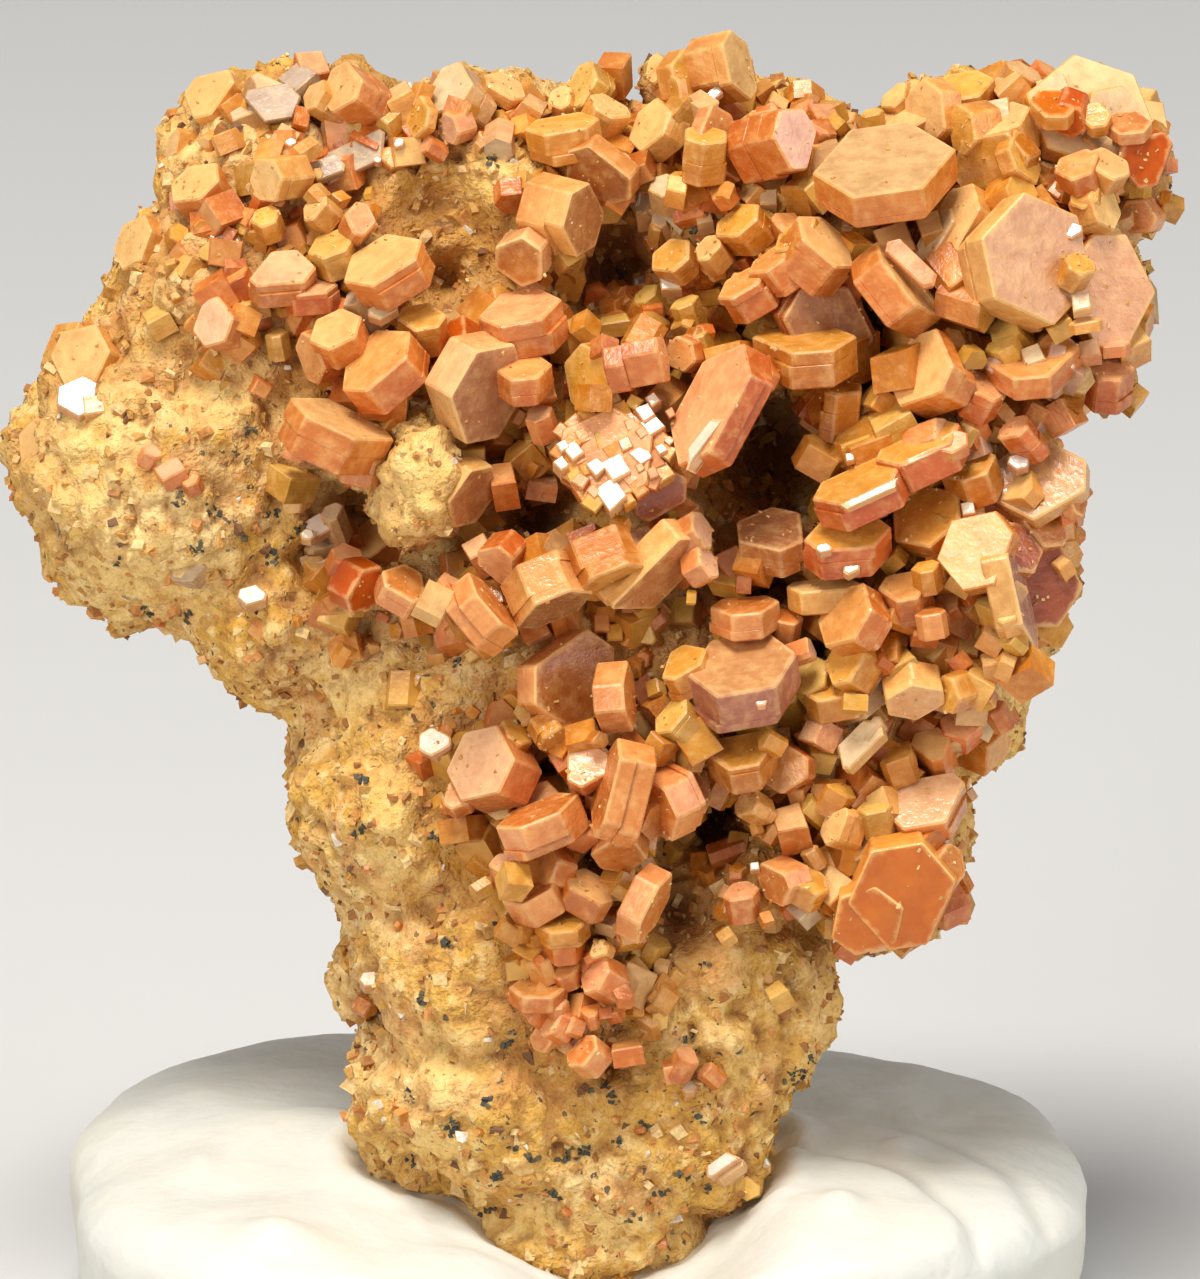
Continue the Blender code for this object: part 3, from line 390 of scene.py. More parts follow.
        (Tone.LIT, -8, 26.9, 6.2, 3.9, 1.35, 65, 74), (Tone.PINK, -9.2, 26.4, 5.5, 1.6, 1.1, 200, 20, 30),
        (Tone.FLUSHED, -7.5, 26, 5.4, 2.3, 1, 75, 66),
    ),
    "left_edge_sliver": crystals((Tone.PALE, -14.8, 32.65, 1.3, 2.1, 0.9, 160, 55)),
    "left_edge_plate": crystals((Tone.PALE, -16.45, 28.85, 1.6, 2.7, 1.3, 155, 40)),
    "left_edge_chip": crystals((Tone.PALE, -17.75, 25.95, 0.6, 2.2, 0.9, 185, 40)),
    "lower_right_pair": crystals(
        (Tone.HONEY, 4.4, 16.55, 6, 2.5, 1, 100, 55), (Tone.TAN, 5.8, 15.95, 5.4, 1.9, 0.8, 180, 22),
    ),
    "upright_column": crystals((Tone.FLUSHED, 0.95, 18.2, 6.6, 2.8, 1, 5, 80)),
    "white_crystal": crystals((Tone.WHITE, -5.2, 16.8, 4.6, 1.2, 0.8, 120, 26)),
    "lower_centre_cluster": crystals(
        (Tone.SHELL, -0.5, 16.1, 6.4, 1.8, 0.8, 110, 24, 10), (Tone.FLUSHED, 0.1, 15.3, 7, 3.4, 1.25, 166, 78),
        (Tone.FLUSHED, 1.7, 14.7, 6.4, 2.8, 1.2, 205, 62), (Tone.DUSKY, 3.1, 15.3, 5.4, 2.2, 0.9, 20, 50),
        (Tone.FLUSHED, -1.85, 14.7, 6.3, 3.2, 1.15, 112, 76), (Tone.TAN, -1.2, 14.9, 6.2, 1.1, 0.8, 112, 60, 10),
        (Tone.EMBER, 0.6, 13.2, 6, 2, 0.9, 260, 55),
    ),
    "lower_left_cluster": crystals(
        (Tone.SHELL, -2.9, 13.1, 5.2, 1.5, 0.9, 100, 60), (Tone.TAN, -1.8, 12.9, 5.4, 1.9, 0.8, 160, 60),
        (Tone.FLUSHED, -2.2, 12.3, 5.4, 2.1, 1, 120, 62), (Tone.LIT, -0.3, 12.3, 5.6, 1.9, 0.9, 60, 55),
    ),
    "slab_by_hollow": crystals((Tone.FLUSHED, 1.7, 11.5, 6.6, 2.8, 0.85, 334, 78)),
    "wedge_plate": crystals(
        (Tone.AMBER, -1.2, 11.25, 5.2, 2, 0.7, 95, 62), (Tone.TAN, -1.2, 10.7, 5, 1.6, 0.8, 95, 58),
        (Tone.PALE, -0.05, 10.3, 5.2, 0.8, 0.6, 150, 30, 15),
    ),
    "stem_upper_crystal": crystals(
        (Tone.PINK, -0.2, 9.5, 5, 1.6, 1, 150, 55), (Tone.TAN, -1.1, 9.7, 4.7, 1.2, 0.7, 110, 50),
    ),
    "stem_ledge_plate": crystals((Tone.TAN, -1.95, 9.15, 4.6, 2, 0.6, 90, 66)),
    "stem_lower_crystal": crystals(
        (Tone.FLUSHED, -0.6, 7.1, 4.8, 1.5, 0.9, 140, 50), (Tone.PINK, -1.6, 8.1, 4.6, 1.5, 0.8, 150, 58),
        (Tone.EMBER, -1.9, 7.5, 4.3, 1.1, 0.7, 200, 40),
    ),
    "left_recess_pair": crystals(
        (Tone.DEEP, -7.3, 21.5, 4.8, 2, 1, 330, 50), (Tone.EMBER, -6.1, 21.8, 5, 1.8, 0.9, 60, 48),
    ),
    "stem_row_cluster": crystals(
        (Tone.PINK, 4.4, 12.1, 5, 1.4, 1, 100, 60), (Tone.EMBER, 5.4, 12.3, 5.2, 1.8, 1, 200, 55),
        (Tone.AMBER, 6.6, 12.5, 5.2, 1.7, 0.9, 60, 55),
    ),
    "orange_plate_cluster": crystals(
        (Tone.PALE, 7.3, 14.2, 5.2, 1.5, 1, 160, 55), (Tone.SHELL, 10.2, 15, 4.7, 3, 1, 100, 40),
        (Tone.FIRE, 9.5, 12.1, 5.6, 4.4, 1.2, 285, 24, 54), (Tone.FIRE, 8.4, 11.2, 5.3, 2.7, 0.9, 270, 26, 20),
        (Tone.EMBER, 11, 12.9, 5, 1.6, 0.9, 10, 50),
    ),
    "notch_crystal": crystals((Tone.PALE, 4.6, 14.9, 5.2, 1.3, 0.9, 150, 55)),
}

# Lone small crystals, crumbs of crystal and broken blades that stand between the groups. Most of the white ones, and
# the long thin strips, are painted highlights: near-white chips and strips laid where the light glints, most of them
# also turned to mirror the overhead light.
LONE_CRYSTALS = crystals(
    (Tone.CHALK, -8.75, 23.2, 4.2, 1.1, 1.4, 100, 40), (Tone.CHALK, -8.45, 24, 4.4, 0.9, 1.2, 110, 50),
    (Tone.PALE, -9, 22.4, 4, 0.8, 1, 90, 45), (Tone.LIT, -7.4, 23.2, 4.9, 1.7, 2.4, 120, 38, 10, 1.3),
    (Tone.LIT, 9.2, 32.5, 4.9, 1.5, 1.4, 110, 35), (Tone.CHALK, 1.4, 33.8, 4.5, 1, 1, 100, 38),
    (Tone.PALE, 2.4, 34.3, 4.9, 0.9, 0.8, 80, 40), (Tone.CHALK, 1.9, 33.3, 4.2, 0.8, 0.8, 120, 40),
    (Tone.LIT, 10.9, 21.2, 6.4, 1.2, 1.2, 120, 38), (Tone.PALE, 11.5, 19.9, 6.5, 1.2, 1.2, 80, 42),
    (Tone.LIT, 10.4, 16.7, 5, 1.5, 1.4, 105, 42), (Tone.OCHRE, 12.6, 29.7, 6, 1.3, 1.2, 140, 40),
    (Tone.PALE, 10.3, 33, 5.6, 1.1, 1, 110, 42), (Tone.TAN, 5.8, 33.1, 5, 1.2, 1.2, 90, 42),
    (Tone.HONEY, 3.9, 29.5, 3.9, 1.2, 1.4, 90, 45), (Tone.TAN, -3.1, 25.2, 5, 1.2, 1.2, 100, 45),
    (Tone.LIT, 5.9, 14.4, 5.2, 1.3, 1.2, 105, 42), (Tone.WHITE, 3.2, 26.25, 8.45, 0.62, 0.4, 150, 50, -12, 3.7),
    (Tone.WHITE, 8.4, 24.5, 8.15, 0.26, 0.3, 110, 29, 5, 7.5),
    (Tone.SHELL, 10.1, 25.75, 7.6, 0.26, 0.3, 110, 31, 5, 6.5),
    (Tone.SHELL, 11, 26.15, 7.45, 0.9, 0.5, 100, 42, 25, 1.4), (Tone.HONEY, 8.3, 26.5, 5.9, 2.3, 1, 110, 60),
    (Tone.AMBER, 7.1, 26, 5.6, 1.5, 1, 60, 60), (Tone.WHITE, -8.6, 23.9, 4.1, 0.5, 0.4, 97, 29, 10),
    (Tone.WHITE, -9.2, 23.3, 4.1, 0.5, 0.4, 97, 31, 40), (Tone.CHALK, -9.3, 22.5, 4, 0.4, 0.4, 97, 29, 10),
    (Tone.WHITE, 3.6, 37.25, 2.7, 0.5, 0.3, 97, 29, 40, 1.6), (Tone.WHITE, 5, 18.1, 7.6, 0.4, 0.3, 97, 29),
    (Tone.LIT, 11.6, 22.9, 7.1, 2.6, 0.9, 150, 20, 10, 1.1), (Tone.CHALK, 12.55, 21.6, 7.25, 0.9, 0.8, 150, 50),
    (Tone.PALE, 12.65, 20.8, 7.25, 0.8, 0.7, 110, 50), (Tone.OCHRE, 12.7, 20.1, 6.8, 0.8, 0.7, 140, 55),
    (Tone.PALE, 12.75, 19.4, 6.7, 0.7, 0.7, 70, 55), (Tone.OCHRE, 11.5, 22.2, 6.3, 1, 0.8, 60, 60),
    (Tone.OCHRE, 12.2, 21.2, 6.2, 1.1, 0.8, 110, 60), (Tone.PALE, 11.4, 21.1, 6.4, 1.1, 0.9, 140, 55),
    (Tone.PALE, 12.4, 20.3, 6, 1.1, 0.7, 60, 50), (Tone.OCHRE, 11.6, 20.1, 6.3, 1, 0.8, 160, 60),
    (Tone.PALE, 12.2, 19.4, 5.8, 0.9, 0.7, 100, 60), (Tone.CHALK, -10.4, 37.4, 2.1, 1.7, 1, 60, 52, 10),
    (Tone.GREY, -9.6, 37.8, 1.8, 1.3, 0.9, 120, 55, 20), (Tone.CHALK, -11.3, 36.8, 2, 1.4, 0.8, 110, 55),
    (Tone.GREY, -10.2, 36.9, 2.6, 1.7, 0.6, 100, 12, 0, 1.3), (Tone.PALE, -9.1, 37.1, 2.5, 1.3, 1.08, 150, 62),
    (Tone.PALE, -6.4, 37.3, 2.3, 1.3, 0.96, 120, 67), (Tone.AMBER, -5.9, 37.2, 2.4, 1.1, 0.5, 160, 72),
    (Tone.GREY, -7.7, 35.25, 5, 1.3, 0.35, 112, 12, 3, 2.3), (Tone.GREY, -8.6, 34.85, 4.9, 0.8, 0.35, 112, 20, 0, 2),
    (Tone.CHALK, -7.2, 35.7, 5.1, 0.35, 0.3, 112, 29, 3, 4.5), (Tone.WHITE, -6.35, 35.65, 3.3, 0.4, 0.3, 97, 29, 10),
    (Tone.WHITE, -7, 35.1, 5.15, 0.3, 0.3, 97, 29, 30), (Tone.WHITE, -10.3, 35.7, 4.2, 0.35, 0.3, 97, 29, 10),
    (Tone.WHITE, -9.7, 35.65, 4.3, 0.45, 0.3, 97, 29, 20), (Tone.TAN, -11.2, 33.3, 3.6, 0.9, 0.84, 150, 57),
    (Tone.WHITE, -12, 32.9, 3.2, 0.9, 0.5, 97, 29), (Tone.CHALK, -11.6, 32.5, 3.3, 0.7, 0.5, 97, 33, 20),
    (Tone.TAN, -11.6, 31.4, 3.6, 1.2, 0.84, 120, 62), (Tone.OCHRE, -10.2, 29.6, 4.2, 1, 0.84, 100, 72),
    (Tone.CHALK, -6.8, 30.3, 5.7, 0.8, 0.4, 100, 33, 25, 1.3), (Tone.PINK, -5.5, 35.6, 3.2, 0.8, 0.72, 150, 62),
    (Tone.HONEY, -4, 36.5, 3, 1, 0.84, 340, 67), (Tone.PALE, -2, 36.9, 2.4, 1.1, 0.84, 60, 64),
    (Tone.AMBER, -2.6, 36.2, 2.9, 1.2, 0.96, 150, 57), (Tone.CHALK, 2.15, 34.25, 3.9, 1.3, 0.9, 100, 45, 10),
    (Tone.CHALK, 1.35, 33.8, 3.7, 1.1, 0.8, 140, 45, 20), (Tone.SHELL, 3, 34, 3.3, 0.9, 0.84, 60, 57, 10),
    (Tone.CHALK, 3.25, 33.35, 3.8, 0.8, 0.6, 100, 45), (Tone.WHITE, 1.9, 34.5, 4.1, 0.4, 0.3, 97, 29),
    (Tone.CHALK, 2.7, 33.25, 3.3, 0.7, 0.6, 150, 30), (Tone.PALE, 1.9, 33.1, 3, 0.8, 0.72, 80, 52),
    (Tone.CHALK, 3.7, 33.6, 3.5, 0.6, 0.5, 100, 40), (Tone.PALE, 4.6, 34.1, 4, 1, 0.84, 140, 57),
    (Tone.CHALK, 5.3, 33.9, 4.3, 0.8, 0.6, 90, 35), (Tone.OCHRE, 5.9, 34, 4.6, 0.9, 0.72, 60, 62),
    (Tone.WHITE, 2.2, 31.3, 3.8, 0.9, 0.5, 97, 30), (Tone.OCHRE, 1.4, 30.9, 3.4, 1.1, 0.84, 130, 62),
    (Tone.OCHRE, 2.6, 30.6, 4.2, 1.2, 0.96, 110, 67), (Tone.AMBER, 3.4, 30.4, 4.8, 1.2, 0.96, 150, 67),
    (Tone.AMBER, 1.8, 30.1, 4.2, 1.1, 0.84, 60, 67), (Tone.OCHRE, 3.1, 29.6, 5, 1, 0.84, 110, 72),
    (Tone.OCHRE, 0.4, 30.1, 3.6, 1.3, 0.5, 100, 76), (Tone.AMBER, -0.4, 30, 3.8, 1.1, 0.5, 95, 76),
    (Tone.PINK, 5.2, 36.6, 3.6, 1, 0.84, 120, 62), (Tone.PALE, 5.7, 37.1, 3, 0.9, 0.84, 60, 62),
    (Tone.PINK, 6.4, 36.8, 3.2, 1, 0.84, 140, 57, 15), (Tone.PINK, 7.1, 36.7, 3.2, 1.1, 0.96, 80, 57, 20),
    (Tone.PALE, 7.8, 36.5, 3.4, 0.9, 0.84, 120, 62), (Tone.PINK, 6.8, 36.1, 3.8, 1, 0.72, 60, 72),
    (Tone.OCHRE, 8.6, 36.6, 3.4, 1, 0.84, 100, 67), (Tone.PALE, 9.3, 37.2, 2.8, 1.3, 1.08, 130, 57),
    (Tone.PALE, 10.2, 37.3, 2.8, 1.3, 0.96, 90, 67), (Tone.PALE, 12.7, 37.6, 2.9, 1.4, 1.08, 130, 67),
    (Tone.PALE, 13.4, 37.9, 2.6, 1.3, 0.96, 60, 67), (Tone.CHALK, 12.4, 36.6, 4.4, 1.2, 0.8, 100, 40),
    (Tone.CHALK, 14.3, 37.4, 3.2, 1.3, 0.6, 110, 50), (Tone.WHITE, 14.75, 32.8, 6.35, 0.6, 0.5, 97, 29, 30, 1.2),
    (Tone.SHELL, 9.85, 31.65, 7.5, 0.75, 0.3, 70, 15, 335, 3), (Tone.CHALK, 15, 30.55, 7, 0.8, 0.4, 100, 33),
    (Tone.PALE, 15.1, 29.95, 6.6, 1.2, 0.35, 100, 76), (Tone.OCHRE, 14.2, 30, 6.2, 1.2, 0.6, 120, 67),
    (Tone.SHELL, 16.1, 29.3, 4.9, 1.3, 0.4, 95, 76), (Tone.OCHRE, 12.5, 29.2, 6.4, 1.2, 0.6, 120, 60),
    (Tone.CHALK, 13.5, 28.9, 6.5, 0.9, 0.6, 97, 36, 10), (Tone.LILAC, 14.3, 29, 6.2, 0.8, 0.5, 80, 40),
    (Tone.CHALK, 13.1, 28.5, 6.5, 0.7, 0.5, 97, 29, 25), (Tone.WHITE, 14.6, 28.6, 6.1, 0.5, 0.4, 97, 29),
    (Tone.GREY, 13.9, 28.4, 6.3, 0.8, 0.5, 60, 50), (Tone.SHELL, 15.3, 29.1, 5.6, 0.9, 0.5, 97, 36),
    (Tone.LILAC, 12.2, 28.6, 6.4, 0.7, 0.5, 140, 40), (Tone.LILAC, 14.9, 28.5, 5.6, 1, 0.72, 60, 67),
    (Tone.LILAC, 13.2, 28.3, 5.8, 1, 0.72, 120, 67), (Tone.EMBER, 13.9, 27.4, 4.8, 1, 0.96, 60, 67),
    (Tone.EMBER, 14.9, 27.2, 4.8, 1.4, 0.96, 30, 62), (Tone.WHITE, 13.1, 25.6, 6, 0.8, 0.4, 97, 29, 10),
    (Tone.PALE, 13, 24.8, 5.6, 1.6, 0.6, 140, 57), (Tone.WHITE, 11.5, 24.1, 6.2, 0.6, 0.4, 97, 30),
    (Tone.PALE, 14.4, 22.45, 5, 0.6, 0.6, 120, 52, 15), (Tone.LILAC, 12.1, 26.1, 5.8, 0.9, 0.84, 20, 67),
    (Tone.WHITE, 6.95, 22.85, 7.5, 0.45, 0.4, 97, 29, 10, 1.3),
    (Tone.WHITE, 7.85, 22.3, 6.85, 0.55, 0.4, 97, 29, 20, 1.4), (Tone.WHITE, 8.1, 22.4, 7.4, 0.5, 0.4, 97, 26, 10),
    (Tone.WHITE, 7.8, 25.7, 6.4, 0.35, 0.3, 97, 29), (Tone.OCHRE, 7.9, 26.4, 5.8, 1.6, 0.6, 110, 62),
    (Tone.OCHRE, 9, 27, 6, 1.7, 0.7, 120, 67), (Tone.AMBER, 8.5, 27.6, 5.6, 1, 0.84, 150, 67),
    (Tone.SHELL, 10.8, 20.75, 6.9, 1.2, 1.08, 150, 52, 12), (Tone.FLUSHED, 10.3, 20.9, 6.6, 1.1, 0.84, 100, 72),
    (Tone.PALE, 10.4, 19.7, 6.6, 1.1, 0.96, 130, 52, 12), (Tone.PALE, 11.1, 19.4, 6.6, 0.8, 0.72, 60, 57),
    (Tone.AMBER, 10.2, 22.3, 6.6, 1.1, 0.84, 100, 67), (Tone.AMBER, 9, 20.9, 6.2, 1.2, 0.96, 160, 67),
    (Tone.OCHRE, 9.3, 19.4, 5.8, 1.2, 0.96, 120, 67), (Tone.PALE, 8.6, 19.1, 5.6, 0.9, 0.72, 60, 67),
    (Tone.OCHRE, 12, 18.9, 5.6, 1.3, 0.96, 60, 67), (Tone.PINK, 12.4, 17.9, 5, 1, 0.84, 120, 62),
    (Tone.CHALK, 11.3, 17, 5, 0.8, 0.5, 97, 32), (Tone.AMBER, 11.4, 18.6, 5.4, 0.9, 0.72, 120, 67),
    (Tone.SHELL, 6.6, 19.7, 6.2, 0.9, 0.84, 20, 72, 15), (Tone.CHALK, 8, 16.7, 5.6, 1.1, 0.5, 135, 30, 0, 1.8),
    (Tone.CHALK, 8.5, 17.2, 5.6, 0.8, 0.4, 135, 35, 10, 1.4), (Tone.SHELL, 6.6, 17.2, 5.4, 1.1, 0.84, 150, 57, 10),
    (Tone.AMBER, 9.3, 16.4, 5.2, 1.3, 0.96, 110, 62), (Tone.AMBER, 7.6, 15.3, 5, 1.2, 0.96, 60, 67),
    (Tone.OCHRE, 6.4, 14.9, 4.8, 1.1, 0.96, 140, 62), (Tone.OCHRE, 8.6, 14.8, 5, 1.3, 0.96, 100, 67),
    (Tone.PALE, 5.6, 14.3, 4.6, 0.9, 0.72, 60, 67), (Tone.PALE, 6.5, 13.4, 4.8, 0.8, 0.72, 120, 67),
    (Tone.AMBER, 5.1, 16.9, 6.3, 0.9, 0.72, 150, 67), (Tone.GREY, 6.3, 11.6, 4.8, 1, 0.6, 130, 45),
    (Tone.WHITE, 8.7, 10.6, 4.2, 0.7, 0.4, 97, 30), (Tone.WHITE, 4.85, 12.9, 5, 0.4, 0.3, 97, 29),
    (Tone.AMBER, -2.6, 26, 4.6, 1.3, 1.08, 130, 62), (Tone.AMBER, -2, 25.7, 4.8, 1, 0.96, 60, 62),
    (Tone.OCHRE, -2.1, 26.4, 4.6, 0.8, 0.72, 100, 62), (Tone.SHELL, -1.9, 27.1, 5.8, 1.1, 0.96, 110, 56, 10),
    (Tone.SHELL, -1.8, 25.05, 5.4, 1.3, 0.6, 80, 72, 10), (Tone.AMBER, -0.6, 26.9, 5.8, 1.4, 0.96, 140, 62),
    (Tone.SHELL, -3.9, 22.9, 5.4, 1.1, 0.96, 120, 52), (Tone.PINK, -4.6, 21.7, 5.6, 1.4, 0.96, 60, 62),
    (Tone.TAN, -7.9, 23.4, 4.8, 0.9, 0.72, 110, 62), (Tone.WHITE, -8.9, 23.6, 4, 0.9, 0.4, 97, 29, 30),
    (Tone.CHALK, -9, 22.9, 4, 0.7, 0.4, 97, 35), (Tone.CHALK, -8.7, 22.3, 4, 0.6, 0.4, 97, 24, 15),
    (Tone.AMBER, -7.9, 19.8, 4.2, 0.9, 0.72, 60, 62), (Tone.CHALK, -11, 21.4, 3.6, 0.8, 0.5, 97, 30, 10, 1.4),
    (Tone.SHELL, -13.5, 25.4, 4, 1.2, 0.5, 110, 52, 10), (Tone.SHELL, -14, 25.9, 4, 0.7, 0.6, 60, 52),
    (Tone.PINK, -12.9, 25, 4.2, 0.7, 0.48, 110, 52), (Tone.GREY, -13, 22.2, 2.9, 1.3, 0.7, 140, 30),
    (Tone.WHITE, -16.5, 27.6, 2.3, 1.5, 0.6, 97, 29, 20, 1.2), (Tone.CHALK, -15.9, 27.4, 2.6, 0.9, 0.5, 97, 34),
    (Tone.OCHRE, -13.2, 31.8, 3, 1, 0.72, 150, 62), (Tone.OCHRE, -14, 30.3, 3, 1.1, 0.72, 120, 62),
    (Tone.PALE, -13.6, 35.6, 1.6, 1.4, 1.08, 170, 67), (Tone.SHELL, -1.3, 8.6, 4.8, 0.8, 0.6, 100, 62),
    (Tone.TAN, 0.8, 7.3, 4.5, 1.3, 0.6, 100, 76), (Tone.PINK, 2.8, 6.9, 4.4, 1.1, 0.84, 60, 62),
    (Tone.PINK, 3.3, 6.5, 4.3, 0.8, 0.72, 140, 67), (Tone.EMBER, 2.2, 6.7, 4.3, 0.8, 0.6, 100, 67),
    (Tone.WHITE, 2.8, 5.95, 4.2, 0.5, 0.4, 97, 29), (Tone.WHITE, 3.8, 3.5, 3.7, 0.7, 0.4, 125, 29, 0, 2),
    (Tone.CHALK, 4, 3.3, 3.5, 0.6, 0.4, 125, 45, 0, 2.4), (Tone.OCHRE, 5.5, 9, 4, 0.9, 0.7, 120, 57),
    (Tone.TAN, -1.7, 9, 4.9, 0.8, 0.6, 60, 50), (Tone.PINK, -2.2, 8.3, 4.5, 0.7, 0.6, 140, 60),
    (Tone.EMBER, -0.3, 8.4, 4.8, 0.8, 0.6, 100, 50), (Tone.SHELL, -1, 7.9, 4.8, 0.7, 0.5, 160, 60),
    (Tone.PINK, 0.1, 10.2, 5, 0.8, 0.6, 30, 50), (Tone.AMBER, 3.4, 12.8, 4.6, 0.8, 0.6, 110, 62),
    (Tone.CHALK, -7.3, 9.3, 2.8, 0.7, 0.5, 97, 30), (Tone.HONEY, -7.2, 8.2, 2.4, 0.8, 0.6, 330, 62),
)

# Where the black specks lie on the bare rock, across and up the display face.
BLACK_SPECKS: tuple[tuple[float, float], ...] = (
    (-4.5, 19.2), (-5.3, 17.9), (-6.3, 17.9), (-2.8, 17.9), (-7.4, 15.6), (-5.3, 13.8), (-7.5, 14.0), (-2.6, 11.1),
    (-3.1, 11.15), (-4.9, 10.3), (-5.6, 8.6), (-2.9, 7.3), (-2.7, 7.6), (-1.7, 6.4), (-4.7, 4.5), (-4.6, 4.7),
    (-3.5, 5.4), (-5.9, 5.7), (-3.3, 3.0), (-1.5, 2.3), (-1.6, 2.5), (-1.1, 3.6), (-0.5, 3.9), (-0.8, 3.75),
    (-3.7, 1.9), (1.5, 4.7), (3.2, 4.9), (0.6, 4.2), (1.9, 2.6), (3.4, 2.6), (6.0, 6.1), (6.4, 6.1), (6.2, 6.3),
    (7.1, 6.3), (6.6, 6.6), (2.7, 7.5), (3.2, 9.8), (1.0, 1.7), (0.3, 5.5), (0.1, 5.9), (-2.2, 3.6), (-2.6, 3.9),
    (2.6, 3.1), (-6.0, 3.4), (-14.4, 20.9), (-13.2, 20.7), (-11.3, 23.3), (-12.1, 24.0), (-13.3, 24.3),
    (-10.4, 22.5), (-10.3, 24.0), (-9.5, 23.5), (-11.0, 26.5), (-15.2, 22.4), (-12.6, 22.9), (-10.9, 20.9),
    (-3.4, 35.1), (1.3, 35.6), (0.7, 31.6), (-0.3, 30.8), (3.0, 32.9),
)

# The small square facets of the sparkling plate, painted near-white or pale pink as its glints: middle across and up
# the display face, then width.
MOSAIC: tuple[tuple[float, float, float], ...] = (
    (-1.15, 26.05, 0.4), (-0.85, 25.9, 0.6), (-1.2, 25.5, 0.45), (-0.1, 25.4, 0.6), (0.5, 25.4, 0.85),
    (0.35, 24.55, 0.95), (1.3, 25.75, 0.65), (1.25, 25.35, 0.3), (1.65, 25.2, 0.4), (0.8, 26.1, 0.5),
    (1.65, 26.7, 0.7), (1.3, 26.45, 0.4), (1.4, 27.1, 0.6), (1.65, 27.5, 0.45), (2.2, 27.05, 0.3),
    (1.9, 25.95, 0.35), (2.15, 26.2, 0.3), (0.95, 26.7, 0.4), (-0.6, 24.95, 0.5), (-0.2, 24.6, 0.4),
)


class Nodes:
    """A short hand for laying out the nodes of one tree."""

    def __init__(self, tree: bpy.types.NodeTree) -> None:
        """Works on one node tree."""
        self.tree = tree

    def add(self, kind: str, inputs: Optional[dict] = None, **settings: object) -> bpy.types.Node:
        """Adds a node.

        Args:
            kind: The node's type.
            inputs: Values or other nodes' outputs, by the name or number of the socket that they go to.
            settings: Properties of the node itself.

        Returns:
            The node.
        """
        node = self.tree.nodes.new(kind)
        for name, value in settings.items():
            setattr(node, name, value)
        self.feed(node, inputs or {})
        return node

    def feed(self, node: bpy.types.Node, inputs: dict) -> None:
        """Gives a node values and links to other nodes' outputs, by socket."""
        for key, value in inputs.items():
            if isinstance(value, bpy.types.NodeSocket):
                self.tree.links.new(value, node.inputs[key])
            else:
                node.inputs[key].default_value = value

    def math(self, operation: str, first: object, second: object = 0.0) -> bpy.types.NodeSocket:
        """The result of a sum on two numbers."""
        return self.add("ShaderNodeMath", {0: first, 1: second}, operation=operation).outputs[0]

    def mix(self, share: object, low: object, high: object, blend: str = "MIX") -> bpy.types.NodeSocket:
        """A blend of two colours."""
        low = (*low, 1.0) if isinstance(low, tuple) and len(low) == 3 else low
        high = (*high, 1.0) if isinstance(high, tuple) and len(high) == 3 else high
        node = self.add("ShaderNodeMix", {0: share, 6: low, 7: high}, data_type="RGBA", blend_type=blend)
        return node.outputs[2]

    def span(self, value: object, low: float, high: float, start: float = 0.0,
             end: float = 1.0) -> bpy.types.NodeSocket:
        """Stretches low to high over start to end, and holds it there outside them."""
        return self.add("ShaderNodeMapRange", {0: value, 1: low, 2: high, 3: start, 4: end}).outputs[0]

    def attribute(self, name: str, output: str = "Fac") -> bpy.types.NodeSocket:
        """Reads a value that the mesh carries."""
        return self.add("ShaderNodeAttribute", attribute_name=name).outputs[output]

    def group(self, tree: bpy.types.NodeTree, **inputs: object) -> bpy.types.NodeSocket:
        """Places a shared effect with its own values, and gives its mask."""
        return self.add("ShaderNodeGroup", inputs, node_tree=tree).outputs[0]

    def layered(self, base: object, layers: Iterable[tuple[object, object]]) -> bpy.types.NodeSocket:
        """Lays colours over a base one after another, each by its own share."""
        for share, colour in layers:
            base = self.mix(share, base, colour)
        return base

    def bumps(self, *layers: tuple[object, float, float]) -> bpy.types.NodeSocket:
        """A normal that is roughened by heights, each with a strength and a distance in millimetres."""
        inputs = {}
        for height, strength, distance in layers:
            inputs |= {"Height": height, "Strength": strength, "Distance": distance * MM}
            inputs["Normal"] = self.add("ShaderNodeBump", inputs).outputs[0]
        return inputs["Normal"]


